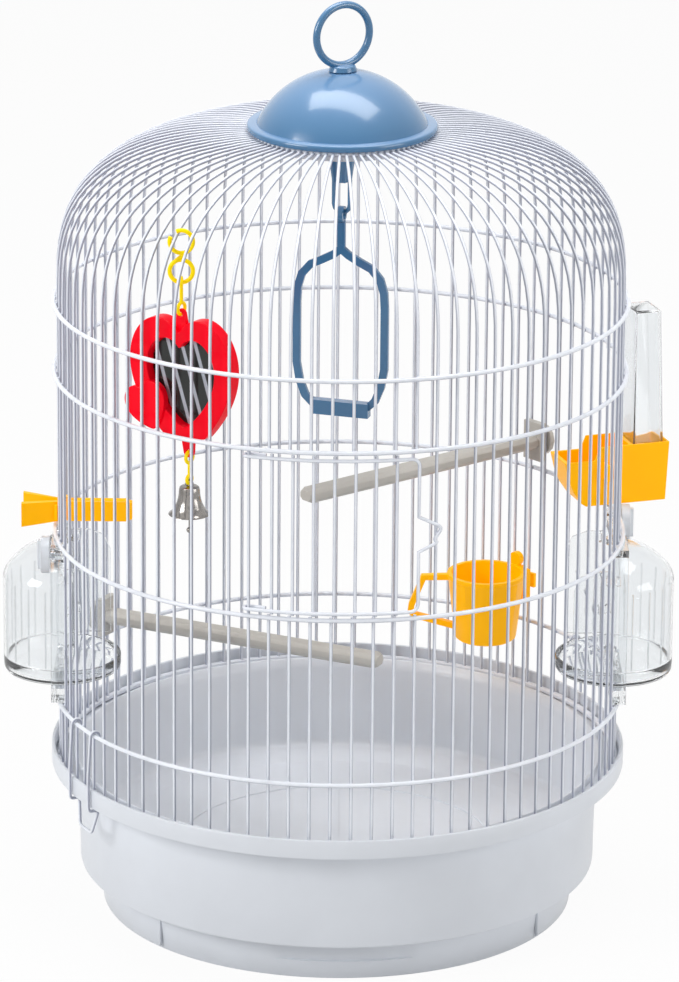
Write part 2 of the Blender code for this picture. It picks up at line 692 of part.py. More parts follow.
def loop_of_wire(centre, radius, wire_radius, right, up):
    """A closed round loop of wire in the plane of two unit directions."""
    points = arc(centre, radius, 0, math.tau, LOOP_STEPS, right, up)[:-1]
    return rod(points, wire_radius, BAR_SIDES, loop=True, upright=right.cross(up))


def solid(pieces, cuts=()):
    """One closed mesh: the union of pieces that meet, less the cuts."""
    helpers = []
    for body in (*pieces, *cuts):
        mesh = bpy.data.meshes.new("helper")
        body.to_mesh(mesh)
        body.free()
        helper = bpy.data.objects.new("helper", mesh)
        helper.hide_render = True
        helper.display_type = "WIRE"
        bpy.context.scene.collection.objects.link(helper)
        helpers.append(helper)
    base = helpers[0]
    for i, helper in enumerate(helpers[1:], start=1):
        modifier = base.modifiers.new("shape", "BOOLEAN")
        modifier.operation = "UNION" if i < len(pieces) else "DIFFERENCE"
        modifier.solver = "EXACT"
        modifier.object = helper
    bpy.context.view_layer.update()
    graph = bpy.context.evaluated_depsgraph_get()
    result = bpy.data.meshes.new_from_object(base.evaluated_get(graph))
    for helper in helpers:
        mesh = helper.data
        bpy.data.objects.remove(helper)
        bpy.data.meshes.remove(mesh)
    return result


def material(name, colour, roughness, metallic=0.0, alpha=1.0, transmission=0.0):
    """A Principled material of one colour."""
    result = bpy.data.materials.get(name)
    if result:
        return result
    result = bpy.data.materials.new(name)
    result.use_nodes = True
    result.diffuse_color = (*colour, alpha)
    shader = result.node_tree.nodes["Principled BSDF"]
    shader.inputs["Base Color"].default_value = (*colour, 1)
    shader.inputs["Roughness"].default_value = roughness
    shader.inputs["Metallic"].default_value = metallic
    shader.inputs["Alpha"].default_value = alpha
    shader.inputs["Transmission Weight"].default_value = transmission
    return result


def coated_wire():
    return material("coated_wire", (0.72, 0.76, 0.86), 0.35)


def white_plastic():
    return material("white_plastic", (0.80, 0.84, 0.93), 0.4)


def blue_plastic():
    return material("blue_plastic", (0.12, 0.29, 0.52), 0.25)


def orange_plastic():
    return material("orange_plastic", (1.0, 0.38, 0.0), 0.35)


def yellow_plastic():
    return material("yellow_plastic", (0.85, 0.60, 0.0), 0.35)


def red_plastic():
    return material("red_plastic", (0.93, 0.0, 0.02), 0.3)


def beige_plastic():
    return material("beige_plastic", (0.51, 0.48, 0.42), 0.5)


def clear_plastic():
    return material("clear_plastic", (0.92, 0.95, 0.97), 0.05, alpha=0.35, transmission=0.8)


def frosted_plastic():
    return material("frosted_plastic", (0.85, 0.88, 0.92), 0.4, alpha=0.8)


def polished_metal():
    return material("polished_metal", (0.70, 0.68, 0.66), 0.12, metallic=1.0)


def mirror_glass():
    return material("mirror_glass", (0.10, 0.11, 0.12), 0.05, metallic=0.6)


def add(name, shape, finish, origin=Vector((0, 0, 0))):
    """Adds a piece, given in world coordinates, with its origin where it turns or sits."""
    if isinstance(shape, bmesh.types.BMesh):
        mesh = bpy.data.meshes.new(name)
        shape.to_mesh(mesh)
        shape.free()
    else:
        mesh = shape
        mesh.name = name
    mesh.transform(Matrix.Translation(-origin))
    mesh.materials.clear()
    mesh.materials.append(finish)
    mesh.shade_smooth()
    mesh.set_sharp_from_angle(angle=CREASE_ANGLE)
    piece = bpy.data.objects.new(name, mesh)
    piece.location = origin
    bpy.context.scene.collection.objects.link(piece)
    return piece


def wire_path(index, low_z):
    """A cage wire from a height up over the shoulder to the crown ring."""
    azimuth = wire_azimuth(index)
    last = shoulder_turn(CROWN_RING_R)
    path = [cage_point(azimuth, CAGE_R, low_z)]
    for i in range(SHOULDER_STEPS + 1):
        path.append(cage_point(azimuth, *shoulder_radius_and_z(last * i / SHOULDER_STEPS)))
    return path


def make_wires():
    """All upright wires, cut at the openings, welded to a ring at the crown and one at the foot."""
    foot_z = GUTTER_FLOOR_Z + GAP
    end_z = foot_z + FOOT_RING_HEIGHT / 2
    cuts = {}
    for first, last in (LEFT_FEEDER_WIRES, RIGHT_FEEDER_WIRES):
        for index in range(first, last + 1):
            cuts[index % WIRE_COUNT] = (HOOP_LOW_Z, HOOP_MIDDLE_Z)
    for first, last in (DOOR_WIRES, HOPPER_WIRES):
        for index in range(first, last + 1):
            cuts[index % WIRE_COUNT] = (HOOP_MIDDLE_Z, HOOP_UPPER_Z)
    wires = []
    for index in range(WIRE_COUNT):
        azimuth = wire_azimuth(index)
        outward = cage_point(azimuth, 1, 0)
        if index not in cuts:
            wires.append(rod(wire_path(index, end_z), WIRE_R, WIRE_SIDES, upright=outward))
            continue
        low, high = cuts[index]
        stub = [cage_point(azimuth, CAGE_R, end_z), cage_point(azimuth, CAGE_R, low + HOOP_R)]
        wires.append(rod(stub, WIRE_R, WIRE_SIDES, upright=outward))
        wires.append(rod(wire_path(index, high - HOOP_R), WIRE_R, WIRE_SIDES, upright=outward))
    rings = []
    crown_low = CROWN_Z - CROWN_RING_HEIGHT / 2
    for middle, width, low, height in ((CROWN_RING_R, CROWN_RING_WIDTH, crown_low, CROWN_RING_HEIGHT),
                                       (CAGE_R, FOOT_RING_WIDTH, foot_z, FOOT_RING_HEIGHT)):
        inner = middle - width / 2
        outer = middle + width / 2
        band = ((inner, low), (outer, low), (outer, low + height), (inner, low + height))
        rings.append(turned(band, HOOP_SEGMENTS))
    add("wire_cage", solid([joined(wires), joined(rings)]), coated_wire())


def make_hoops():
    """Four hoops outside the wires; the middle of each straight facet is what clears the wires."""
    outer_share = 1 / math.cos(math.pi / HOOP_SEGMENTS)
    for number, z in enumerate((HOOP_TOP_Z, HOOP_UPPER_Z, HOOP_MIDDLE_Z, HOOP_LOW_Z), start=1):
        radius = HOOP_CENTRE_R * outer_share
        path = [cage_point(math.tau * i / HOOP_SEGMENTS, radius, z) for i in range(HOOP_SEGMENTS)]
        add(f"hoop_{number}", rod(path, HOOP_R, WIRE_SIDES, loop=True), coated_wire())


def turned_open_profile(profile, segments):
    """A profile that crosses the axis in its middle, turned a full turn about Z."""
    crossing = [i for i, (radius, z) in enumerate(profile) if radius == 0]
    ordered = profile[crossing[-1]:] + profile[:crossing[0] + 1]
    return turned(ordered, segments)


def make_tray():
    """The tray in one turned profile: rim, gutter for the wires' foot, wall, stepped foot and floor."""
    rim_inner = TRAY_RIM_R - TRAY_RIM_WALL
    wall_inner = TRAY_WALL_TOP_R - TRAY_SKIN
    lip_inner = TRAY_WALL_TOP_R + GUTTER_LIP_STEP
    lip_outer = lip_inner + TRAY_SKIN
    floor_under = TRAY_FLOOR_Z - TRAY_SKIN
    disc_z = TRAY_FLOOR_Z - TRAY_DISC_DEPTH
    ledge_under_r = TRAY_WALL_LOW_R - TRAY_SKIN
    profile = (
        (TRAY_FOOT_R, 0),
        (TRAY_FOOT_TOP_R, TRAY_FOOT_TOP_Z),
        (TRAY_WALL_LOW_R - TRAY_SKIN / 2, TRAY_FOOT_TOP_Z + TRAY_SKIN / 2),
        (TRAY_WALL_LOW_R, TRAY_WALL_LOW_Z),
        (TRAY_WALL_TOP_R, TRAY_RIM_SKIRT_Z),
        (TRAY_RIM_R, TRAY_RIM_SKIRT_Z),
        (TRAY_RIM_R, TRAY_RIM_TOP_Z),
        (rim_inner, TRAY_RIM_TOP_Z),
        (rim_inner, GUTTER_FLOOR_Z),
        (lip_outer, GUTTER_FLOOR_Z),
        (lip_outer, GUTTER_LIP_Z),
        (lip_inner, GUTTER_LIP_Z),
        (wall_inner, TRAY_RIM_SKIRT_Z),
        (ledge_under_r, TRAY_LEDGE_Z + TRAY_LEDGE_SLOPE_RISE),
        (TRAY_LEDGE_R, TRAY_LEDGE_Z),
        (TRAY_FLOOR_R, TRAY_FLOOR_Z),
        (TRAY_DISC_R, TRAY_FLOOR_Z),
        (TRAY_DISC_R, disc_z),
        (0, disc_z),
        (0, floor_under - TRAY_DISC_DEPTH),
        (TRAY_DISC_R, floor_under - TRAY_DISC_DEPTH),
        (TRAY_FLOOR_R, floor_under - TRAY_DISC_DEPTH),
        (TRAY_FOOT_TOP_R - TRAY_FOOT_WALL, TRAY_FOOT_TOP_Z),
        (TRAY_FOOT_R - TRAY_FOOT_WALL, 0),
    )
    body = turned_open_profile(profile, TRAY_SEGMENTS)
    seam_reach = TRAY_DISC_R - TRAY_SKIN
    seam = block(-TRAY_SEAM_WIDTH / 2, TRAY_SEAM_WIDTH / 2, -seam_reach, seam_reach,
                 disc_z - TRAY_SKIN / 2, disc_z + TRAY_SEAM_HEIGHT)
    ribs = []
    for azimuth in FOOT_RIB_AZIMUTHS:
        rib = block(TRAY_FOOT_R - FOOT_RIB_DEPTH, TRAY_FOOT_TOP_R + FOOT_RIB_DEPTH,
                    -FOOT_RIB_WIDTH / 2, FOOT_RIB_WIDTH / 2, FOOT_RIB_WIDTH, TRAY_FOOT_TOP_Z)
        ribs.append(moved(rib, wall_matrix(math.radians(azimuth))))
    slope = (TRAY_FOOT_TOP_R - TRAY_FOOT_R) / TRAY_FOOT_TOP_Z
    slot_floor = TRAY_FOOT_R + slope * FOOT_SLOT_Z - FOOT_SLOT_DEPTH
    recess = ((slot_floor, FOOT_SLOT_Z), (TRAY_RIM_R, FOOT_SLOT_Z),
              (TRAY_RIM_R, FOOT_SLOT_Z + FOOT_SLOT_HEIGHT), (slot_floor, FOOT_SLOT_Z + FOOT_SLOT_HEIGHT))
    first, last = (math.radians(azimuth) - math.pi / 2 for azimuth in FOOT_SLOT_AZIMUTHS)
    middle = (first + last) / 2
    half_rib = FOOT_SLOT_RIB_WIDTH / 2 / TRAY_FOOT_R
    slots = [turned_part(recess, FOOT_SLOT_STEPS, first, middle - half_rib),
             turned_part(recess, FOOT_SLOT_STEPS, middle + half_rib, last)]
    add("tray", solid([body, joined([seam, *ribs])], slots), white_plastic())


def inner_sphere_z(radius):
    """Height of the inside of the cap's dome at a radius."""
    return CAP_SPHERE_Z + math.sqrt((CAP_SPHERE_R - CAP_WALL) ** 2 - radius ** 2)


def make_cap():
    """The blue dome: rounded brim, flat land for the ring's collar, and a boss inside for the plug."""
    brim_top = CAP_BASE_Z + CAP_BRIM_HEIGHT
    skirt = CAP_DOME_R - CAP_WALL
    bore = PLUG_SHANK_R + GAP
    boss_low = DISC_TOP_Z + GAP
    profile = [
        (skirt, CAP_BASE_Z),
        (CAP_BRIM_R - CAP_BRIM_ROUND, CAP_BASE_Z),
        (CAP_BRIM_R, CAP_BASE_Z + CAP_BRIM_ROUND),
        (CAP_BRIM_R, brim_top - CAP_BRIM_ROUND),
        (CAP_BRIM_R - CAP_BRIM_ROUND, brim_top),
    ]
    for i in range(CAP_STEPS + 1):
        radius = CAP_DOME_R + (CAP_LAND_R - CAP_DOME_R) * i / CAP_STEPS
        profile.append((radius, CAP_SPHERE_Z + math.sqrt(CAP_SPHERE_R ** 2 - radius ** 2)))
    profile += [
        (RING_STEM_R + GAP, CAP_LAND_Z),
        (RING_STEM_R + GAP, inner_sphere_z(bore)),
        (bore, inner_sphere_z(bore)),
        (bore, boss_low),
        (CAP_BOSS_R, boss_low),
    ]
    for i in range(CAP_STEPS):
        radius = CAP_BOSS_R + (skirt - CAP_BOSS_R) * i / (CAP_STEPS - 1)
        profile.append((radius, inner_sphere_z(radius)))
    add("cap", turned(profile, CAP_SEGMENTS), blue_plastic())


def make_hanging_ring():
    """The ring and its collar in one piece, with a stem that snaps through the cap and turns in it."""
    yaw = math.radians(RING_YAW)
    right = Vector((math.cos(yaw), math.sin(yaw), 0))
    catch_top = inner_sphere_z(PLUG_SHANK_R + GAP) - GAP
    stem = turned(((0, catch_top - RING_CATCH_HEIGHT), (RING_CATCH_R, catch_top - RING_CATCH_HEIGHT),
                   (RING_CATCH_R, catch_top), (RING_STEM_R, catch_top),
                   (RING_STEM_R, CAP_LAND_Z + 2 * GAP), (0, CAP_LAND_Z + 2 * GAP)), SMALL_SEGMENTS)
    collar = cylinder(RING_COLLAR_R, CAP_LAND_Z + GAP, RING_COLLAR_TOP_Z, SMALL_SEGMENTS)
    collar = moved(collar, Matrix.Rotation(yaw, 4, "Z") @ Matrix.Diagonal((1, RING_COLLAR_SHARE, 1, 1)))
    path = arc(Vector((0, 0, RING_CENTRE_Z)), RING_R, 0, math.tau, RING_STEPS, right, Vector((0, 0, 1)))[:-1]
    ring = rod(path, RING_WIRE_R, RING_SIDES, loop=True, upright=right.cross(Vector((0, 0, 1))))
    add("hanging_ring", solid([ring, collar, stem]), blue_plastic(), Vector((0, 0, CAP_LAND_Z)))


def make_plug():
    """The disc under the wires, and the finned plug that screws up through it and carries the swing."""
    disc_low = DISC_TOP_Z - DISC_THICKNESS
    bore = PLUG_SHANK_R + GAP
    disc = ((bore, disc_low), (DISC_R, disc_low), (DISC_R, DISC_TOP_Z), (bore, DISC_TOP_Z))
    add("crown_disc", turned(disc, CAP_SEGMENTS), white_plastic())
    flange_top = disc_low - GAP
    flange_low = flange_top - PLUG_FLANGE_THICKNESS
    plug = turned(((0, PLUG_LOW_Z), (PLUG_LOW_R, PLUG_LOW_Z), (PLUG_TOP_R, PLUG_TAPER_TOP_Z),
                   (PLUG_FLANGE_R, flange_low), (PLUG_FLANGE_R, flange_top), (PLUG_SHANK_R, flange_top),
                   (PLUG_SHANK_R, PLUG_SHANK_TOP_Z), (0, PLUG_SHANK_TOP_Z)), 2 * PLUG_FINS)
    for vertex in plug.verts:
        fin = round(math.atan2(vertex.co.y, vertex.co.x) * PLUG_FINS / math.pi)
        if vertex.co.z <= PLUG_TAPER_TOP_Z + GAP and fin % 2:
            vertex.co.xy *= PLUG_FIN_SHARE
    add("clamp_plug", solid([plug, rod(swing_eye_path(), EYE_WIRE_R, BAR_SIDES)]), blue_plastic())


def swing_axes():
    """Along the swing's bar, and through the swing's opening."""
    yaw = math.radians(SWING_YAW)
    right = Vector((math.cos(yaw), math.sin(yaw), 0))
    return right, right.cross(Vector((0, 0, 1)))


def swing_eye_path():
    """The U of the plug's eye, in the swing's plane."""
    right, normal = swing_axes()
    up = Vector((0, 0, 1))
    centre = up * (EYE_LOW_Z + EYE_WIRE_R + EYE_HALF_WIDTH)
    top = up * (PLUG_LOW_Z + EYE_WIRE_R)
    bend = arc(centre, EYE_HALF_WIDTH, math.pi, math.tau, LOOP_STEPS // 2, right, up)
    return [top - right * EYE_HALF_WIDTH, *bend, top + right * EYE_HALF_WIDTH]


def make_swing():
    """Hook, stem, bottle-shaped strap and bar; it turns about the lowest wire of the plug's eye."""
    right, normal = swing_axes()
    up = Vector((0, 0, 1))
    pivot = up * (EYE_LOW_Z + EYE_WIRE_R)
    half_hook = SWING_HOOK_WIDTH / 2
    sag = EYE_HALF_WIDTH - math.sqrt(EYE_HALF_WIDTH ** 2 - half_hook ** 2)
    centre = pivot + up * (EYE_WIRE_R + sag + GAP - SWING_HOOK_INNER_R)
    hook_r = SWING_HOOK_INNER_R + SWING_HOOK_THICKNESS / 2
    hook_path = arc(centre, hook_r, math.pi / 2, math.pi / 2 + math.tau, SMALL_SEGMENTS, normal, up)[:-1]
    hook = strap(hook_path, SWING_HOOK_THICKNESS, SWING_HOOK_WIDTH, right, loop=True)
    stem = strap([centre - up * hook_r, up * SWING_NECK_Z], SWING_STRAP_WIDTH, SWING_STEM_DEPTH, normal)
    half = [(x, SWING_NECK_Z + (SWING_SIDE_TOP_Z - SWING_NECK_Z) * z) for x, z in SWING_SHOULDER_SHARES]
    half.append((1, SWING_SIDE_LOW_Z))
    half += [(x, SWING_SIDE_LOW_Z + (SWING_BAR_Z - SWING_SIDE_LOW_Z) * z) for x, z in SWING_HEEL_SHARES]
    outline = half + [(-x, z) for x, z in half[:0:-1]]
    points = [right * x * SWING_HALF_WIDTH + up * z for x, z in outline]
    frame = strap(points, SWING_STRAP_WIDTH, SWING_STRAP_DEPTH, normal, loop=True)
    pieces = [frame, stem, hook]
    bar_ends = [up * SWING_BAR_Z + right * x for x in (-SWING_BAR_HALF_LENGTH, SWING_BAR_HALF_LENGTH)]
    pieces.append(strap(bar_ends, SWING_BAR_HEIGHT, SWING_BAR_DEPTH, normal))
    add("swing", solid(pieces), blue_plastic(), pivot)


def make_door():
    """A bent frame wire that curls round a cage wire at top and bottom, with seven bars welded inside."""
    hinge_azimuth = wire_azimuth(DOOR_HINGE_WIRE)
    hinge_s = hinge_azimuth * DOOR_R
    edge_s = math.radians(DOOR_EDGE_AZIMUTH) * DOOR_R
    reach_s = math.radians(DOOR_TONGUE_REACH_AZIMUTH) * DOOR_R
    turn_s = edge_s - DOOR_CORNER_R

    def on_door(s, z):
        return cage_point(s / DOOR_R, DOOR_R, z)

    def curl(z):
        wall = wall_matrix(hinge_azimuth)
        outward, along = wall.col[0].xyz, wall.col[1].xyz
        centre = cage_point(hinge_azimuth, CAGE_R, z)
        radius = DOOR_R - CAGE_R
        bend = arc(centre, radius, 0, -math.pi, DOOR_CURL_STEPS, outward, along)
        return [*bend, centre - outward * radius + along * DOOR_TAIL_LENGTH]

    def level(z):
        return [on_door(hinge_s + (turn_s - hinge_s) * i / DOOR_ARC_STEPS, z)
                for i in range(1, DOOR_ARC_STEPS + 1)]

    def corner(z, direction):
        points = []
        for i in range(1, DOOR_CORNER_STEPS + 1):
            angle = math.pi / 2 * i / DOOR_CORNER_STEPS
            drop = DOOR_CORNER_R * (1 - math.cos(angle))
            points.append(on_door(turn_s + DOOR_CORNER_R * math.sin(angle), z + direction * drop))
        return points

    tongue = [on_door(edge_s + (reach_s - edge_s) * x, DOOR_TONGUE_Z + DOOR_TONGUE_HALF_HEIGHT * z)
              for x, z in DOOR_TONGUE_SHARES]
    upper = curl(DOOR_TOP_Z)[::-1] + level(DOOR_TOP_Z) + corner(DOOR_TOP_Z, -1)
    lower = curl(DOOR_LOW_Z)[::-1] + level(DOOR_LOW_Z) + corner(DOOR_LOW_Z, 1)
    frame = rod(upper + tongue + lower[::-1], DOOR_WIRE_R, BAR_SIDES)
    bar_radius = DOOR_R - DOOR_WIRE_R - DOOR_BAR_R + DOOR_BAR_SINK
    reach = DOOR_WIRE_R + DOOR_BAR_NUB
    bars = []
    for azimuth in DOOR_BAR_AZIMUTHS:
        angle = math.radians(azimuth)
        ends = [cage_point(angle, bar_radius, z) for z in (DOOR_LOW_Z - reach, DOOR_TOP_Z + reach)]
        bars.append(rod(ends, DOOR_BAR_R, WIRE_SIDES, upright=cage_point(angle, 1, 0)))
    add("door", solid([frame, joined(bars)]), coated_wire(), cage_point(hinge_azimuth, CAGE_R, DOOR_LOW_Z))


def heart_outline(width, height, top_z, points, middle=0.0):
    """A heart in x and z from two short wave sums, by its size and the height of its lobes."""
    raw = []
    for i in range(points):
        angle = math.tau * i / points
        x = sum(share * math.sin((n + 1) * angle) for n, share in enumerate(HEART_X_SHARES))
        z = sum(share * math.cos((n + 1) * angle) for n, share in enumerate(HEART_Z_SHARES))
        raw.append((x, z))
    widest = max(x for x, z in raw)
    highest = max(z for x, z in raw)
    lowest = min(z for x, z in raw)
    return [(middle + x / widest * width / 2, top_z - (highest - z) / (highest - lowest) * height)
            for x, z in raw]


def blunted(outline, low_z):
    """An outline in x and z, cut off level at a height near its lowest point."""
    result = []
    for (x0, z0), (x1, z1) in zip(outline, outline[1:] + outline[:1]):
        if z0 > low_z:
            result.append((x0, z0))
        if (z0 > low_z) != (z1 > low_z):
            share = (low_z - z0) / (z1 - z0)
            result.append((x0 + (x1 - x0) * share, low_z))
    return result


def toy_places():
    """Centres and heights of the toy's parts from the wire that it hangs on."""
    azimuth = wire_azimuth(TOY_WIRE)
    wire = cage_point(azimuth, *shoulder_radius_and_z(shoulder_turn(TOY_HANG_R)))
    upper = wire + Vector((TOY_SIDE_STEP, 0, -TOY_DROP))
    lower = upper - Vector((0, 0, TOY_CURL_PITCH))
    link_pin = lower - Vector((0, 0, TOY_CURL_R))
    hole = link_pin - Vector((0, 0, HEART_HANG))
    heart_top = hole.z - HEART_LOBE_DROP
    roll = math.radians(HEART_ROLL)
    low_hole = hole + HEART_DROP * (heart_axes()[0] * math.sin(roll) - Vector((0, 0, math.cos(roll))))
    link_loop = low_hole - Vector((0, 0, LINK_TAB_LOOP_R))
    small_loop = link_loop - Vector((0, 0, LINK_TAB_LOOP_R + BELL_LINK_STEM + LINK_SMALL_LOOP_R))
    eye_rise = LINK_WIRE_R + BELL_EYE_WIRE_R + GAP - LINK_SMALL_LOOP_R
    bell_eye = small_loop + Vector((0, 0, eye_rise - BELL_EYE_R))
    bell_top = bell_eye.z - BELL_EYE_R / 2
    return {"wire": wire, "upper": upper, "lower": lower, "link_pin": link_pin, "hole": hole,
            "heart_top": heart_top, "low_hole": low_hole, "link_loop": link_loop,
            "small_loop": small_loop, "bell_eye": bell_eye, "bell_top": bell_top}


def heart_axes():
    """Along the heart's face, and out of its back toward the middle of the cage."""
    yaw = math.radians(HEART_YAW)
    return Vector((math.cos(yaw), math.sin(yaw), 0)), Vector((-math.sin(yaw), math.cos(yaw), 0))


def make_toy_hook(places):
    """Two open curls one above the other, joined by a slanting bar."""
    right, up = Vector((1, 0, 0)), Vector((0, 0, 1))
    start, end = (math.radians(angle) for angle in TOY_CURL_OPEN)
    through = right.cross(up)
    upper_path = arc(places["upper"], TOY_CURL_R, start, end, TOY_CURL_STEPS, right, up)
    lower_path = arc(places["lower"], TOY_CURL_R, 0, math.tau, TOY_CURL_STEPS, right, up)[:-1]
    bridge = []
    for name, angle in zip(("upper", "lower"), TOY_BRIDGE):
        turn = math.radians(angle)
        bridge.append(places[name] + TOY_CURL_R * (right * math.cos(turn) + up * math.sin(turn)))
    pieces = [rod(upper_path, TOY_CURL_WIRE_R, BAR_SIDES, upright=through),
              rod(lower_path, TOY_CURL_WIRE_R, BAR_SIDES, loop=True, upright=through),
              rod(bridge, TOY_CURL_WIRE_R, BAR_SIDES, upright=through)]
    add("toy_hook", solid(pieces), yellow_plastic(), places["wire"])


def make_toy_link(places):
    """A link from the lower curl to the heart's tab; its two loops stand across each other's plane."""
    along, back = heart_axes()
    up = Vector((0, 0, 1))
    inner = LINK_LOOP_R - LINK_WIRE_R
    top = places["link_pin"] + up * (TOY_CURL_WIRE_R + GAP - inner)
    low = places["hole"] + up * LINK_TAB_LOOP_R
    pieces = [loop_of_wire(top, LINK_LOOP_R, LINK_WIRE_R, Vector((0, 1, 0)), up),
              loop_of_wire(low, LINK_TAB_LOOP_R, LINK_WIRE_R, back, up),
              rod([top - up * LINK_LOOP_R, low + up * LINK_TAB_LOOP_R], LINK_WIRE_R, BAR_SIDES, upright=back)]
    add("toy_link", solid(pieces), yellow_plastic(), places["link_pin"])


def tab(root_z, hole_z, end_z):
    """A tapered tab from inside the heart past its hole."""
    half_root, half_end = HEART_TAB_ROOT_WIDTH / 2, HEART_TAB_WIDTH / 2
    outline = ((-half_root, root_z), (half_root, root_z), (half_end, hole_z), (half_end / 2, end_z),
               (-half_end / 2, end_z), (-half_end, hole_z))
    return prism(outline, -HEART_TAB_THICKNESS / 2, HEART_TAB_THICKNESS / 2)


def tab_hole(z):
    """A cutter for the hole in a tab."""
    cutter = cylinder(HEART_TAB_HOLE_R, -HEART_DEPTH, HEART_DEPTH, SMALL_SEGMENTS)
    return moved(cutter, Matrix.Translation((0, 0, z)) @ Matrix.Rotation(math.pi / 2, 4, "X"))


def make_heart(places):
    """A deep heart frame with two tabs and a small heart on its front, and the mirror in its opening."""
    along, back = heart_axes()
    hole = places["hole"]
    placed = Matrix((along, back, (0, 0, 1))).transposed().to_4x4()
    placed.translation = hole
    placed = placed @ Matrix.Rotation(-math.radians(HEART_ROLL), 4, "Y") @ Matrix.Translation((0, 0, -hole.z))
    top = places["heart_top"]
    half = HEART_DEPTH / 2
    foot_z = top - HEART_HEIGHT + HEART_BLUNT
    outline = heart_outline(HEART_WIDTH, HEART_HEIGHT, top, HEART_POINTS)
    body = prism(blunted(outline, foot_z), -half, half)
    opening_top = top - HEART_OPENING_DROP
    opening = heart_outline(HEART_OPENING_WIDTH, HEART_OPENING_HEIGHT, opening_top, HEART_POINTS)
    ledge = heart_outline(HEART_OPENING_WIDTH - 2 * HEART_LEDGE_WIDTH,
                          HEART_OPENING_HEIGHT - 2 * HEART_LEDGE_WIDTH,
                          opening_top - HEART_LEDGE_WIDTH, HEART_POINTS)
    ledge_y = half - HEART_BACK_LEDGE
    charm = heart_outline(CHARM_WIDTH, CHARM_HEIGHT, CHARM_HEIGHT / 2, CHARM_POINTS)
    tilt = Matrix.Rotation(-math.radians(CHARM_TILT), 4, "Y")
    charm_at = Matrix.Translation((-CHARM_SIDE, 0, top - CHARM_DROP - CHARM_HEIGHT / 2))
    charm_front = -half - CHARM_PROUD
    charm = moved(prism(charm, charm_front, charm_front + CHARM_DEPTH), charm_at @ tilt)
    low_hole = hole.z - HEART_DROP
    rooted_low = foot_z + HEART_LOW_TAB_ROOT
    pieces = [body, charm, tab(top - HEART_TAB_ROOT, hole.z, hole.z + HEART_TAB_EDGE),
              tab(rooted_low, low_hole, low_hole - HEART_TAB_EDGE)]
    cuts = [prism(opening, -half + CHARM_DEPTH - CHARM_PROUD, ledge_y), prism(ledge, 0, half + OVERRUN),
            tab_hole(hole.z), tab_hole(low_hole)]
    front_cut = prism(opening, -half - OVERRUN, -half + CHARM_DEPTH - CHARM_PROUD + GAP)
    bare = solid([body, *pieces[2:]], [front_cut, *cuts])
    frame = solid([from_mesh(bare), charm])
    frame.transform(placed)
    add("heart_frame", frame, red_plastic(), places["link_pin"])
    mirror = heart_outline(HEART_OPENING_WIDTH - 2 * MIRROR_CLEARANCE,
                           HEART_OPENING_HEIGHT - 2 * MIRROR_CLEARANCE,
                           opening_top - MIRROR_CLEARANCE, HEART_POINTS)
    mirror_back = ledge_y - GAP
    plate = moved(prism(mirror, mirror_back - MIRROR_THICKNESS, mirror_back), placed)
    add("heart_mirror", plate, mirror_glass(), places["link_pin"])


def from_mesh(mesh):
    """A body from a mesh that isn't needed any more."""
    bm = bmesh.new()
    bm.from_mesh(mesh)
    bpy.data.meshes.remove(mesh)
    return bm


def make_bell(places):
    """The lower link, the flared bell with its eye and cross pin, and the clapper that hangs on the pin."""
    along, back = heart_axes()
    up = Vector((0, 0, 1))
    link = [loop_of_wire(places["link_loop"], LINK_TAB_LOOP_R, LINK_WIRE_R, back, up),
            loop_of_wire(places["small_loop"], LINK_SMALL_LOOP_R, LINK_WIRE_R, back, up),
            rod([places["link_loop"] - up * LINK_TAB_LOOP_R, places["small_loop"] + up * LINK_SMALL_LOOP_R],
                LINK_WIRE_R, BAR_SIDES, upright=back)]
    add("bell_link", solid(link), yellow_plastic(), places["low_hole"])
    top = places["bell_top"]
    outer = [(BELL_TOP_R * radius, top - BELL_HEIGHT * drop) for radius, drop in BELL_SHAPE_SHARES]
    inner = [(radius - BELL_WALL, min(z, top - BELL_WALL)) for radius, z in outer]
    profile = [(0, top), *outer, *inner[::-1], (0, top - BELL_WALL)]
    axis = Vector((places["low_hole"].x, places["low_hole"].y, 0))
    shell = moved(turned(profile, SMALL_SEGMENTS), Matrix.Translation(axis))
    pin_centre = axis + up * (top - BELL_HEIGHT * BELL_PIN_SHARE)
    pin_reach = along * (BELL_TOP_R - BELL_WALL / 2)
    pieces = [shell, loop_of_wire(places["bell_eye"], BELL_EYE_R, BELL_EYE_WIRE_R, along, up),
              rod([pin_centre - pin_reach, pin_centre + pin_reach], BELL_PIN_R, BAR_SIDES, upright=back)]
    add("bell", solid(pieces), polished_metal(), places["low_hole"])
    loop = pin_centre + up * (BELL_PIN_R + GAP - CLAPPER_LOOP_R + CLAPPER_WIRE_R)
    ball_centre = pin_centre - up * CLAPPER_LENGTH
    ball = bmesh.new()
    bmesh.ops.create_icosphere(ball, subdivisions=1, radius=CLAPPER_BALL_R,
                               matrix=Matrix.Translation(ball_centre))
    pieces = [loop_of_wire(loop, CLAPPER_LOOP_R, CLAPPER_WIRE_R, back, up),
              rod([loop - up * CLAPPER_LOOP_R, ball_centre], CLAPPER_WIRE_R, BAR_SIDES, upright=back),
              closed(ball)]
    add("clapper", solid(pieces), polished_metal(), pin_centre)


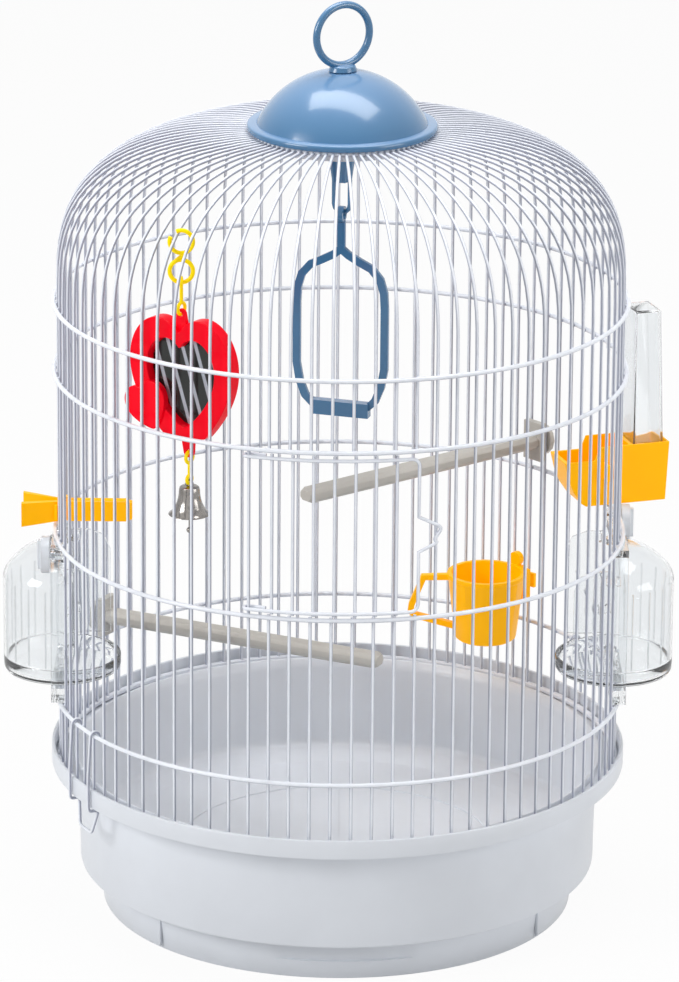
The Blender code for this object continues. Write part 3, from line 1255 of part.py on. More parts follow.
def make_feeder(side, wires):
    """A clear feeder in an opening: wall frame with cheeks and grips, turning hood and dish, lock disc."""
    first, last = wires
    placed = wall_matrix(wire_azimuth((first + last) / 2))
    edge_x, edge_y = CAGE_R * math.cos(FRAME_HALF_SPAN), CAGE_R * math.sin(FRAME_HALF_SPAN)
    jamb_out, jamb_in = FRAME_JAMB_OUT, FRAME_JAMB_IN
    low, high = HOOP_LOW_Z + HOOP_R + GAP, HOOP_MIDDLE_Z - HOOP_R - GAP
    sill, lintel = FEEDER_FLOOR_Z - GAP, HOOD_TOP_Z + GAP
    pieces = [block(FRAME_INNER_R, FRAME_OUTER_R, -jamb_out, jamb_out, low, high)]
    window = ((-jamb_in, sill), (jamb_in, sill), (jamb_in, GUSSET_LOW_Z), (GUSSET_INNER, lintel),
              (-jamb_in, lintel))
    window = plan_prism([(z, -y) for y, z in window], FRAME_INNER_R - OVERRUN, FRAME_OUTER_R + OVERRUN)
    window = moved(window, Matrix(((0, 0, 1, 0), (0, -1, 0, 0), (1, 0, 0, 0), (0, 0, 0, 1))))
    corner = CHEEK_CORNER_R
    bevel = corner * CHEEK_CORNER_SHARE
    cheek = ((CHEEK_INNER_R, CHEEK_LOW_Z), (FRAME_INNER_R + CHEEK_THICKNESS, CHEEK_LOW_Z),
             (FRAME_INNER_R + CHEEK_THICKNESS, CHEEK_TOP_Z), (CHEEK_INNER_R + corner, CHEEK_TOP_Z),
             (CHEEK_INNER_R + bevel, CHEEK_TOP_Z - bevel),
             (CHEEK_INNER_R, CHEEK_TOP_Z - corner))
    for turn in (-1, 1):
        inner, outer = sorted((turn * jamb_in, turn * (jamb_in + CHEEK_THICKNESS)))
        pieces.append(prism(cheek, inner, outer))
        y0, y1 = sorted((turn * (jamb_in + CHEEK_THICKNESS / 2), turn * (edge_y + GRIP_REACH)))
        for z in (FEEDER_FLOOR_Z + rise for rise in GRIP_RISES):
            for face in (edge_x + WIRE_R + SLACK, edge_x - WIRE_R - SLACK - GRIP_THICKNESS):
                pieces.append(block(face, face + GRIP_THICKNESS, y0, y1,
                                    z - GRIP_HALF_HEIGHT, z + GRIP_HALF_HEIGHT))
    bore_r = PIVOT_R + GAP
    depth = PIVOT_LENGTH + GAP
    cuts = [window,
            moved(cylinder(bore_r, lintel - OVERRUN, lintel + depth, SMALL_SEGMENTS),
                  Matrix.Translation((FEEDER_AXIS_R, 0, 0))),
            moved(cylinder(bore_r, sill - depth, sill + OVERRUN, SMALL_SEGMENTS),
                  Matrix.Translation((FEEDER_AXIS_R, 0, 0))),
            moved(cylinder(LOCK_PIN_R + GAP, FRAME_INNER_R + OVERRUN, FRAME_OUTER_R + OVERRUN,
                           SMALL_SEGMENTS),
                  outward_axis(LOCK_OFFSET, LOCK_Z))]
    frame = solid(pieces, cuts)
    frame.transform(placed)
    add(f"{side}_feeder_frame", frame, clear_plastic())

    axis = Matrix.Translation((FEEDER_AXIS_R, 0, 0))
    origin = placed @ Vector((FEEDER_AXIS_R, 0, 0))
    power = 2 / HOOD_SQUARENESS
    last_turn = math.acos(((HOOD_HUB_R - FEEDER_WALL / 4) / FEEDER_R) ** (1 / power))
    rise = HOOD_TOP_Z - HOOD_SHOULDER_Z
    outer = [(FEEDER_R, DISH_RIM_Z + GAP)]
    inner = [(FEEDER_R - FEEDER_WALL, DISH_RIM_Z + GAP)]
    for i in range(HOOD_STEPS + 1):
        turn = last_turn * i / HOOD_STEPS
        share_r, share_z = math.cos(turn) ** power, math.sin(turn) ** power
        outer.append((FEEDER_R * share_r, HOOD_SHOULDER_Z + rise * share_z))
        inner.append(((FEEDER_R - FEEDER_WALL) * share_r,
                      HOOD_SHOULDER_Z + (rise - FEEDER_WALL * HOOD_CROWN_SHARE) * share_z))
    shell = turned_part([*outer, *inner[::-1]], HOOD_SEGMENTS, -math.pi / 2, math.pi / 2)
    hub_low = HOOD_TOP_Z - HOOD_HUB_HEIGHT
    hub = turned(((0, hub_low), (HOOD_HUB_R, hub_low), (HOOD_HUB_R, HOOD_TOP_Z), (PIVOT_R, HOOD_TOP_Z),
                  (PIVOT_R, HOOD_TOP_Z + PIVOT_LENGTH), (0, HOOD_TOP_Z + PIVOT_LENGTH)), SMALL_SEGMENTS)
    hood = solid([shell, hub])
    hood.transform(placed @ axis)
    add(f"{side}_feeder_hood", hood, clear_plastic(), origin)
    dish = turned(((0, FEEDER_FLOOR_Z - PIVOT_LENGTH), (PIVOT_R, FEEDER_FLOOR_Z - PIVOT_LENGTH),
                   (PIVOT_R, FEEDER_FLOOR_Z), (FEEDER_R - DISH_CORNER, FEEDER_FLOOR_Z),
                   (FEEDER_R, FEEDER_FLOOR_Z + DISH_CORNER), (FEEDER_R, DISH_RIM_Z),
                   (FEEDER_R - FEEDER_WALL, DISH_RIM_Z),
                   (FEEDER_R - FEEDER_WALL, FEEDER_FLOOR_Z + DISH_CORNER),
                   (FEEDER_R - FEEDER_WALL - DISH_CORNER / 2, FEEDER_FLOOR_Z + DISH_FLOOR),
                   (0, FEEDER_FLOOR_Z + DISH_FLOOR)), DISH_SEGMENTS)
    add(f"{side}_feeder_dish", moved(dish, placed @ axis), clear_plastic(), origin)

    face = FRAME_OUTER_R + GAP
    disc = turned(((0, face - PIVOT_LENGTH), (LOCK_PIN_R, face - PIVOT_LENGTH), (LOCK_PIN_R, face),
                   (LOCK_R, face), (LOCK_R, face + LOCK_THICKNESS), (0, face + LOCK_THICKNESS)),
                  LOCK_SEGMENTS)
    reach = LOCK_R * LOCK_GRIP_SHARE
    grip = block(-reach, reach, -LOCK_GRIP_WIDTH / 2, LOCK_GRIP_WIDTH / 2,
                 face + LOCK_THICKNESS / 2, face + LOCK_THICKNESS + LOCK_GRIP_HEIGHT)
    lock = solid([disc, grip])
    lock.transform(placed @ outward_axis(LOCK_OFFSET, LOCK_Z))
    lock_origin = placed @ Vector((face, LOCK_OFFSET, LOCK_Z))
    add(f"{side}_feeder_lock", lock, frosted_plastic(), lock_origin)


def outward_axis(y, z):
    """Lays a piece turned about Z along the outward axis of a wall frame, at a place along the wall."""
    return Matrix.Translation((0, y, z)) @ Matrix(((0, 0, 1, 0), (0, 1, 0, 0), (-1, 0, 0, 0), (0, 0, 0, 1)))


def tapered_box(sections):
    """A box through rectangles (x0, x1, half width in y, z)."""
    bm = bmesh.new()
    rings = []
    for x0, x1, half, z in sections:
        corners = ((x0, -half, z), (x1, -half, z), (x1, half, z), (x0, half, z))
        rings.append([bm.verts.new(corner) for corner in corners])
    skin_rings(bm, rings, False)
    bm.faces.new(rings[0])
    bm.faces.new(rings[-1])
    return closed(bm)


def make_hopper():
    """The orange box outside with its trough inside, and the clear reservoir that stands in the box."""
    placed = wall_matrix(wire_azimuth(sum(HOPPER_WIRES) / 2))
    half = HOPPER_WIDTH / 2
    inner_half = half - HOPPER_WALL
    floor = HOPPER_LOW_Z + HOPPER_WALL
    curve = [(TROUGH_INNER_R + TROUGH_CURVE_DEPTH * x, HOPPER_LOW_Z + (TROUGH_TOP_Z - HOPPER_LOW_Z) * z)
             for x, z in TROUGH_CURVE_SHARES]
    cheek_r = CAGE_R - TROUGH_CHEEK_WIDTH
    outline = [(HOPPER_OUTER_R - HOPPER_DRAFT, HOPPER_LOW_Z), (HOPPER_OUTER_R, HOPPER_TOP_Z),
               (cheek_r, HOPPER_TOP_Z), (cheek_r - TROUGH_CHEEK_SLOPE, TROUGH_TOP_Z),
               (TROUGH_INNER_R, TROUGH_TOP_Z), *curve]
    hollow = [(HOPPER_PARTITION_R, floor), (HOPPER_PARTITION_R, HOPPER_TOP_Z + OVERRUN),
              (TROUGH_INNER_R + HOPPER_WALL, HOPPER_TOP_Z + OVERRUN),
              *[(x + HOPPER_WALL, z + HOPPER_WALL) for x, z in curve]]
    pieces = [prism(outline, -half, half)]
    span = math.radians(WIRE_STEP) * ((HOPPER_WIRES[1] - HOPPER_WIRES[0]) / 2 + 1)
    wire_x = CAGE_R * math.cos(span)
    for turn in (-1, 1):
        y0, y1 = sorted((turn * inner_half, turn * (half + LUG_REACH)))
        for face in (wire_x + WIRE_R + GAP, wire_x - WIRE_R - GAP - LUG_THICKNESS):
            pieces.append(block(face, face + LUG_THICKNESS, y0, y1, LUG_Z, LUG_Z + LUG_HEIGHT))
    partition_out = HOPPER_PARTITION_R + HOPPER_PARTITION_THICKNESS
    chamber_out = HOPPER_OUTER_R - HOPPER_WALL
    cuts = [prism(hollow, -inner_half, inner_half),
            prism(((partition_out, floor), (chamber_out - HOPPER_DRAFT, floor),
                   (chamber_out, HOPPER_TOP_Z), (chamber_out, HOPPER_TOP_Z + OVERRUN),
                   (partition_out, HOPPER_TOP_Z + OVERRUN)), -inner_half, inner_half),
            block(HOPPER_PARTITION_R - OVERRUN, partition_out + OVERRUN, -inner_half, inner_half,
                  floor, HOPPER_PASSAGE_Z)]
    box = solid(pieces, cuts)
    box.transform(placed)
    add("hopper_box", box, orange_plastic())

    sunk = HOPPER_DRAFT * (HOPPER_TOP_Z - RESERVOIR_LOW_Z) / HOPPER_HEIGHT
    x0, x1 = partition_out + GAP, chamber_out - sunk - GAP
    wide = inner_half - GAP
    neck_z = RESERVOIR_TOP_Z - RESERVOIR_ROUND
    narrow = wide - RESERVOIR_SIDE_TAPER
    outer = tapered_box(((x0, x1, wide, RESERVOIR_LOW_Z),
                         (x0, x1 - RESERVOIR_TAPER, narrow, neck_z),
                         (x0 + RESERVOIR_ROUND, x1 - RESERVOIR_TAPER - RESERVOIR_ROUND,
                          narrow - RESERVOIR_ROUND, RESERVOIR_TOP_Z)))
    skin = RESERVOIR_WALL
    hollow = tapered_box(((x0 + skin, x1 - skin, wide - skin, RESERVOIR_LOW_Z - OVERRUN),
                          (x0 + skin, x1 - RESERVOIR_TAPER - skin, narrow - skin,
                           neck_z - skin / 2)))
    reservoir = solid([outer], [hollow])
    reservoir.transform(placed)
    add("hopper_reservoir", reservoir, clear_plastic(), placed @ Vector(((x0 + x1) / 2, 0, RESERVOIR_LOW_Z)))


def make_cup():
    """The orange cup with its angular handle and hanger, and the clip that grips two wires."""
    placed = wall_matrix(wire_azimuth(CUP_CLIP_WIRE))
    face = CAGE_R * math.cos(math.radians(WIRE_STEP / 2)) - WIRE_R - GAP
    plate_in = CAGE_R + WIRE_R + GAP
    pocket_out = face - CLIP_SKIN
    pocket_in = pocket_out - CLIP_POCKET_THICKNESS
    low = CLIP_TOP_Z - CLIP_HEIGHT
    plate_z = CLIP_TOP_Z - CLIP_PLATE_DROP
    neck_x0, neck_x1 = face - CLIP_SKIN / 2, plate_in + CLIP_PLATE_THICKNESS / 2
    pieces = [block(face - CLIP_THICKNESS, face, -CLIP_HALF_WIDTH, CLIP_HALF_WIDTH, low, CLIP_TOP_Z),
              block(neck_x0, neck_x1, -CLIP_NECK_HALF_WIDTH, CLIP_NECK_HALF_WIDTH,
                    plate_z - GAP, plate_z + CLIP_PLATE_HEIGHT - 2 * GAP),
              block(plate_in, plate_in + CLIP_PLATE_THICKNESS, -CLIP_PLATE_HALF_WIDTH, CLIP_PLATE_HALF_WIDTH,
                    plate_z, plate_z + CLIP_PLATE_HEIGHT)]
    pocket = block(pocket_in, pocket_out, -CLIP_POCKET_HALF_WIDTH, CLIP_POCKET_HALF_WIDTH,
                   CLIP_TOP_Z - CLIP_POCKET_DEPTH, CLIP_TOP_Z + OVERRUN)
    clip = solid(pieces, [pocket])
    clip.transform(placed)
    add("cup_clip", clip, orange_plastic())

    lip_z = CUP_TOP_Z - CUP_LIP_HEIGHT
    wall_top_r = CUP_RIM_R - CUP_LIP
    shell = turned(((0, CUP_BOTTOM_Z), (CUP_BOTTOM_R - CUP_CORNER, CUP_BOTTOM_Z),
                    (CUP_BOTTOM_R, CUP_BOTTOM_Z + CUP_CORNER), (wall_top_r, lip_z - CUP_LIP),
                    (CUP_RIM_R, lip_z), (CUP_RIM_R, CUP_TOP_Z), (wall_top_r - CUP_WALL, CUP_TOP_Z),
                    (CUP_BOTTOM_R - CUP_WALL, CUP_BOTTOM_Z + CUP_WALL), (0, CUP_BOTTOM_Z + CUP_WALL)),
                   CUP_SEGMENTS)
    centre = placed @ Vector((CUP_CENTRE_R, CUP_SIDE_STEP, 0))
    direction = math.radians(HANDLE_DIRECTION)
    right = Vector((math.cos(direction), math.sin(direction), 0))
    path = [centre + right * (CUP_RIM_R + HANDLE_REACH * x)
            + Vector((0, 0, CUP_BOTTOM_Z + (CUP_TOP_Z - CUP_BOTTOM_Z) * z)) for x, z in HANDLE_SHARES]
    handle = strap(path, HANDLE_THICKNESS, HANDLE_WIDTH, right.cross(Vector((0, 0, 1))))
    tongue_in, tongue_out = pocket_in + GAP, pocket_out - GAP
    root = CUP_CENTRE_R + CUP_RIM_R - HANGER_ROOT
    arm_low, arm_top = CLIP_TOP_Z + GAP, CUP_TOP_Z - GAP
    tongue_low = CLIP_TOP_Z - CLIP_POCKET_DEPTH + GAP
    hook = ((root, arm_low), (tongue_in, arm_low), (tongue_in, tongue_low), (tongue_out, tongue_low),
            (tongue_out, arm_top), (root, arm_top))
    knob_in = tongue_out - KNOB_THICKNESS
    hanger = [prism(hook, -HANGER_HALF_WIDTH, HANGER_HALF_WIDTH),
              moved(cylinder(KNOB_R, knob_in, tongue_out - GAP, KNOB_SIDES),
                    outward_axis(0, CUP_TOP_Z + KNOB_RISE))]
    bodies = [moved(shell, Matrix.Translation(centre)), handle, *[moved(piece, placed) for piece in hanger]]
    add("seed_cup", solid(bodies), orange_plastic(), centre)


def make_perch(name, gap, z, length, yaw):
    """A ribbed bar with a wall plate, a stud through the wires and a round nut outside."""
    placed = wall_matrix(wire_azimuth(gap))
    face = CAGE_R * math.cos(math.radians(WIRE_STEP / 2)) - WIRE_R - GAP
    inner = face - PERCH_PLATE_THICKNESS
    half_w, half_h = PERCH_PLATE_WIDTH / 2, PERCH_PLATE_HEIGHT / 2
    plate = block(inner, face, -half_w, half_w, z - half_h, z + half_h)
    turn = math.pi + math.radians(yaw)
    direction = Vector((math.cos(turn), math.sin(turn), 0))
    side = Vector((-direction.y, direction.x, 0))
    start = Vector((face - PERCH_PLATE_THICKNESS / 2, 0, z))
    bar = bmesh.new()
    rings = []
    for reach, share in ((0, 1), (length - PERCH_END_ROUND, 1), (length, PERCH_END_SHARE)):
        ring = []
        for x, y in PERCH_SECTION_SHARES:
            offset = side * x * PERCH_WIDTH / 2 + Vector((0, 0, y * PERCH_HEIGHT / 2))
            ring.append(bar.verts.new(start + direction * reach + offset * share))
        rings.append(ring)
    skin_rings(bar, rings, False)
    bar.faces.new(rings[0])
    bar.faces.new(rings[-1])
    stud = moved(cylinder(PERCH_STUD_R, face - GAP, face + PERCH_STUD_LENGTH, PERCH_NUT_SIDES),
                 outward_axis(0, z))
    perch = solid([plate, closed(bar), stud])
    perch.transform(placed)
    add(f"{name}_perch", perch, beige_plastic(), placed @ start)
    nut_in = CAGE_R + WIRE_R + GAP
    nut = turned(((PERCH_STUD_R + GAP, nut_in), (PERCH_NUT_R, nut_in),
                  (PERCH_NUT_R, nut_in + PERCH_NUT_THICKNESS * PERCH_NUT_EDGE_SHARE),
                  (PERCH_NUT_R * PERCH_NUT_FACE_SHARE, nut_in + PERCH_NUT_THICKNESS),
                  (PERCH_STUD_R + GAP, nut_in + PERCH_NUT_THICKNESS)), PERCH_NUT_SIDES)
    add(f"{name}_perch_nut", moved(nut, placed @ outward_axis(0, z)), beige_plastic())


def make_peg():
    """A peg through the wall: two arms side by side that share a knuckle, and the pin they turn on."""
    placed = wall_matrix(wire_azimuth(PEG_GAP))
    low, high = PEG_Z - PEG_HEIGHT / 2, PEG_Z + PEG_HEIGHT / 2
    axis = Matrix.Translation((PEG_AXIS_R, 0, 0))
    face = GAP / 2
    origin = placed @ Vector((PEG_AXIS_R, 0, PEG_Z))
    bore = (PEG_PIN_R + GAP, low - OVERRUN, high + OVERRUN)
    wire_y = CAGE_R * math.sin(math.radians(WIRE_STEP / 2))
    wire_x = CAGE_R * math.cos(math.radians(WIRE_STEP / 2))
    claws = [block(x, x + PEG_CLAW_THICKNESS, PEG_ARM_THICKNESS / 2, wire_y + WIRE_R,
                   low + PEG_CLAW_THICKNESS, high - PEG_CLAW_THICKNESS)
             for x in (wire_x + WIRE_R + GAP, wire_x - WIRE_R - GAP - PEG_CLAW_THICKNESS)]
    for turn, name, knuckle, relief, extra in (
            (1, "peg_fixed_arm", (PEG_Z + GAP, high - GAP), (low - OVERRUN, PEG_Z), claws),
            (-1, "peg_moving_arm", (low + GAP, PEG_Z - GAP), (PEG_Z, high + OVERRUN), [])):
        tip, end = PEG_AXIS_R - PEG_JAW_LENGTH, PEG_AXIS_R + PEG_HANDLE_LENGTH
        outline = ((tip, face), (PEG_AXIS_R, face), (end, PEG_HANDLE_SPREAD - PEG_ARM_THICKNESS),
                   (end, PEG_HANDLE_SPREAD), (PEG_AXIS_R + PEG_KNUCKLE_R, PEG_ARM_THICKNESS),
                   (tip + PEG_ARM_THICKNESS, PEG_ARM_THICKNESS), (tip, PEG_TIP_THICKNESS))
        arm = plan_prism([(x, turn * y) for x, y in outline], low, high)
        for vertex in arm.verts:
            share = 1
            if vertex.co.x > end - OVERRUN:
                share = PEG_FLARE_SHARE
            elif vertex.co.x < tip + OVERRUN:
                share = PEG_TIP_SHARE
            vertex.co.z = PEG_Z + (vertex.co.z - PEG_Z) * share
        bmesh.ops.triangulate(arm, faces=arm.faces[:])
        cuts = [moved(cylinder(PEG_KNUCKLE_R + GAP, *relief, SMALL_SEGMENTS), axis)]
        hinge = moved(cylinder(PEG_KNUCKLE_R, *knuckle, SMALL_SEGMENTS), axis)
        body = from_mesh(solid([arm, *extra], cuts))
        piece = solid([body, hinge], [moved(cylinder(*bore, SMALL_SEGMENTS), axis)])
        piece.transform(placed)
        add(name, piece, orange_plastic(), origin)
    head = high + GAP
    pin = turned(((0, low), (PEG_PIN_R, low), (PEG_PIN_R, head), (PEG_PIN_HEAD_R, head),
                  (PEG_PIN_HEAD_R, head + PEG_PIN_HEAD_HEIGHT), (0, head + PEG_PIN_HEAD_HEIGHT)),
                 SMALL_SEGMENTS)
    add("peg_pin", moved(pin, placed @ axis), orange_plastic(), origin)


def make_tray_clip(side, gap):
    """A bent wire that hooks over the lowest hoop, runs down outside the rim and tucks under it."""
    placed = wall_matrix(wire_azimuth(gap))
    step = math.radians(WIRE_STEP)
    hook_y = HOOP_CENTRE_R * math.sin(step)
    hook_x = HOOP_CENTRE_R * math.cos(step)
    hook_r = HOOP_R + SLACK + TRAY_CLIP_WIRE_R
    centre = Vector((hook_x, 0, HOOP_LOW_Z))
    outward, up = Vector((1, 0, 0)), Vector((0, 0, 1))
    start = math.radians(TRAY_CLIP_HOOK_START)
    leg_x = TRAY_RIM_R + GAP + TRAY_CLIP_WIRE_R
    tuck_z = TRAY_RIM_SKIRT_Z - TRAY_CLIP_LIP_DROP
    tuck_x = leg_x - TRAY_CLIP_TUCK
    profile = arc(centre, hook_r, start, 0, TRAY_CLIP_HOOK_STEPS, outward, up)
    profile += [Vector((leg_x, 0, TRAY_RIM_TOP_Z + TRAY_CLIP_SHOULDER)), Vector((leg_x, 0, TRAY_RIM_SKIRT_Z)),
                Vector((leg_x - TRAY_CLIP_WIRE_R, 0, tuck_z)), Vector((tuck_x, 0, tuck_z)),
                Vector((tuck_x - TRAY_CLIP_WIRE_R, 0, tuck_z - 2 * TRAY_CLIP_WIRE_R))]
    along = Vector((0, 1, 0))
    foot = Vector((tuck_x + TRAY_CLIP_WIRE_R, 0, TRAY_RIM_SKIRT_Z - TRAY_CLIP_LOOP_DROP))
    path = [point - along * hook_y for point in profile]
    path.append(foot - along * hook_y * TRAY_CLIP_LOOP_SHARE)
    path.append(foot + along * hook_y * TRAY_CLIP_LOOP_SHARE)
    path += [point + along * hook_y for point in profile[::-1]]
    clip = moved(rod(path, TRAY_CLIP_WIRE_R, BAR_SIDES, upright=along), placed)
    add(f"{side}_tray_clip", clip, coated_wire(), placed @ centre)


def remove_start_objects():
    """Clears whatever the file starts with."""
    for piece in list(bpy.data.objects):
        bpy.data.objects.remove(piece)


def main():
    remove_start_objects()
    make_wires()
    make_hoops()
    make_tray()
    make_cap()
    make_hanging_ring()
    make_plug()
    make_swing()
    make_door()
    places = toy_places()
    make_toy_hook(places)
    make_toy_link(places)
    make_heart(places)
    make_bell(places)
    make_feeder("left", LEFT_FEEDER_WIRES)
    make_feeder("right", RIGHT_FEEDER_WIRES)
    make_hopper()
    make_cup()
    for perch in PERCHES:
        make_perch(*perch)
    make_peg()
    for side, gap in zip(("left", "right"), TRAY_CLIP_WIRES):
        make_tray_clip(side, gap)


main()
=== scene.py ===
# %% [markdown]
# A round wire bird cage, dressed for a picture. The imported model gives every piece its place, and this
# file adds what a picture shows: round wires, rounded edges and real finishes. It is read from top to
# bottom like a notebook: each step says what the real thing is, and then makes it.

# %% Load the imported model
import json
import math

import bmesh
import bpy
from mathutils import Matrix, Vector


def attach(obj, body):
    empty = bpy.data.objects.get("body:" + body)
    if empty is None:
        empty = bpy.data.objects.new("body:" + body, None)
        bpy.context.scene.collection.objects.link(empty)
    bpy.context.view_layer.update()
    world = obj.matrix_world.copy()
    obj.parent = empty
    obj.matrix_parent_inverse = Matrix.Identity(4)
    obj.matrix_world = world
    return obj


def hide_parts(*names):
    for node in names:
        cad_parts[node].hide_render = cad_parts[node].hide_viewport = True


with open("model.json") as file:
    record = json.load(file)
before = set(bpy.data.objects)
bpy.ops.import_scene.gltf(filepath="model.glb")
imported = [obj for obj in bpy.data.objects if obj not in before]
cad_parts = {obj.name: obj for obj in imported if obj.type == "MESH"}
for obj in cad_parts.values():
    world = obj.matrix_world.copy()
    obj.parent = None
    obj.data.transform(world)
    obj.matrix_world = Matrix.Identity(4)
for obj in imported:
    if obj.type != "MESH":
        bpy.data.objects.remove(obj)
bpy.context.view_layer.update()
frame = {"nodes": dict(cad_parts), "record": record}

bodies = frame["record"]["behaviour"]["bodies"]
body_of = {node: body for body, nodes in bodies.items() for node in nodes}

# %% [markdown]
# The camera comes first, because everything is judged through it. The photograph looks down on the
# cage by 18 degrees from a little over three metres, with a long lens and a slight roll.

# %% Camera
focal_length, sensor_height = 218.06, 36
look_down, camera_roll = math.radians(18.07), math.radians(0.45)
lens = bpy.data.cameras.new("camera")
lens.sensor_fit = "VERTICAL"
lens.sensor_height = sensor_height
lens.lens = focal_length
lens.clip_end = 40
camera = bpy.data.objects.new("camera", lens)
camera.location = (0, -3.1904, 1.2819)
tilt = Matrix.Rotation(math.pi / 2 - look_down, 4, "X")
roll = Matrix.Rotation(camera_roll, 4, "Z")
camera.rotation_euler = (tilt @ roll).to_euler()
bpy.context.scene.collection.objects.link(camera)
bpy.context.scene.camera = camera
bpy.context.scene.view_settings.view_transform = "Standard"
print("camera at", tuple(round(x, 3) for x in camera.location))

# %% [markdown]
# Shader maths reads best as plain Python. A Link wraps one output of a node, and an expression on it adds
# the Math node, or the Vector Math node for a colour, that does the sum.

# %% A socket that can be used in expressions
class Link:
    """One output of a shader node."""

    def __init__(self, nodes, output):
        self.nodes = nodes
        self.output = output

    def combine(self, operation, other, swap=False):
        """Adds the node for one sum; a number beside a vector counts for all its parts."""
        vector = self.output.type in ("RGBA", "VECTOR")
        kind = "ShaderNodeVectorMath" if vector else "ShaderNodeMath"
        if vector and isinstance(other, (int, float)):
            other = (other,) * 3
        pair = (other, self) if swap else (self, other)
        return self.nodes.node(kind, {"operation": operation}, dict(enumerate(pair)))

    def __add__(self, other):
        return self.combine("ADD", other)

    def __radd__(self, other):
        return self.combine("ADD", other, swap=True)

    def __sub__(self, other):
        return self.combine("SUBTRACT", other)

    def __rsub__(self, other):
        return self.combine("SUBTRACT", other, swap=True)

    def __mul__(self, other):
        return self.combine("MULTIPLY", other)

    def __rmul__(self, other):
        return self.combine("MULTIPLY", other, swap=True)

    def __truediv__(self, other):
        return self.combine("DIVIDE", other)

    def __rtruediv__(self, other):
        return self.combine("DIVIDE", other, swap=True)

    def __pow__(self, other):
        return self.combine("POWER", other)


# %% A finish is a material with its nodes
class Nodes:
    """A node tree whose nodes are added by one method."""

    def __init__(self, tree):
        self.tree = tree

    def node(self, kind, settings=None, sockets=None, out=0):
        """Adds a node with its settings and the values or links of its sockets."""
        made = self.tree.nodes.new(kind)
        for key, value in (settings or {}).items():
            setattr(made, key, value)
        for key, value in (sockets or {}).items():
            self.feed(made.inputs[key], value)
        return Link(self, made.outputs[out])

    def feed(self, socket, value):
        """Gives a socket a link or a value; a colour may leave out its alpha."""
        if isinstance(value, Link):
            self.tree.links.new(value.output, socket)
        elif socket.type == "RGBA" and len(value) == 3:
            socket.default_value = (*value, 1)
        else:
            socket.default_value = value


class Finish(Nodes):
    """A material that starts with its shader and the place of each point."""

    def __init__(self, name):
        self.material = bpy.data.materials.new(name)
        self.material.use_nodes = True
        super().__init__(self.material.node_tree)
        self.shader = self.tree.nodes["Principled BSDF"]
        self.place = self.node("ShaderNodeTexCoord", out="Object")

    def set(self, **values):
        """Values or links for the shader's sockets, named with _ for a space."""
        for key, value in values.items():
            self.feed(self.shader.inputs[key.replace("_", " ")], value)


# %% Patterns that several finishes share
def speckle(finish, scale, detail=2.0, roughness=0.5):
    """Even noise from 0 to 1; the scale is in grains a metre."""
    return finish.node("ShaderNodeTexNoise", None, {
        "Vector": finish.place, "Scale": scale, "Detail": detail, "Roughness": roughness})


def mix_colours(finish, mask, low, high):
    """Goes from one colour to another by a mask."""
    return finish.node("ShaderNodeMix", {"data_type": "RGBA"}, {0: mask, 6: low, 7: high}, out=2)


def ramp(finish, value, low, high):
    """Stretches a part of a mask to 0..1."""
    return finish.node("ShaderNodeMapRange", None, {"Value": value, "From Min": low, "From Max": high})


def part(finish, vector, axis):
    """One of the three parts of a place or a direction."""
    return finish.node("ShaderNodeSeparateXYZ", None, {0: vector}, out="XYZ".index(axis))


def maths(nodes, operation, *values):
    """A Math node for a sum that has no sign in Python."""
    return nodes.node("ShaderNodeMath", {"operation": operation}, dict(enumerate(values)))


def facing(finish):
    """The direction that the surface faces."""
    return finish.node("ShaderNodeNewGeometry", out="Normal")


def bump(finish, height, strength, distance):
    """Small relief from a mask; the distance is in metres."""
    return finish.node("ShaderNodeBump", None, {
        "Height": height, "Strength": strength, "Distance": distance})


# %% [markdown]
# Nearly all of the cage is moulded plastic. On the real thing its colour is even, and the eye finds the
# rest: a fine eggshell grain from the mould, slow waves where the plastic cooled, and dull patches where
# hands and seed have rubbed the gloss. Light soaks into the bright colours. A faint glow in their own
# colour stands in for that, set against the photograph, and so is the paler blue where the cap faces up,
# which is painted light from above. One recipe with a few values covers every moulded colour.

# %% Moulded plastic
def moulded(name, colour, gloss, shade=0.90, coat=0.0, grain=0.00004, painted_top_light=None, wear=0.14,
            sheen=0.5, glow=0.0):
    """The paler colour painted on what faces up is painted light from above; wear is how much rubbing dulls
    the gloss.
    """
    finish = Finish(name)
    clouds = speckle(finish, 22, detail=3)
    waves = speckle(finish, 60, detail=1)
    eggshell = speckle(finish, 1600, detail=2)
    rubbed = ramp(finish, speckle(finish, 130, detail=5, roughness=0.65), 0.56, 0.74)
    darker = tuple(c * shade for c in colour)
    base = mix_colours(finish, ramp(finish, clouds, 0.35, 0.65), darker, colour)
    # Painted light: faces that point up are painted paler, as if lit from above.
    if painted_top_light:
        up = part(finish, facing(finish), "Z")
        base = mix_colours(finish, ramp(finish, up, 0.45, 1.0), base, painted_top_light)
    finish.set(Base_Color=base, Roughness=gloss + rubbed * wear + eggshell * 0.05)
    relief = eggshell * 0.5 + waves * 0.5
    finish.set(Normal=bump(finish, relief, 0.22, grain))
    finish.set(Coat_Weight=coat, Coat_Roughness=0.08, Specular_IOR_Level=sheen)
    finish.set(Emission_Color=base, Emission_Strength=glow)
    finish.material.diffuse_color = (*colour, 1)
    return finish.material


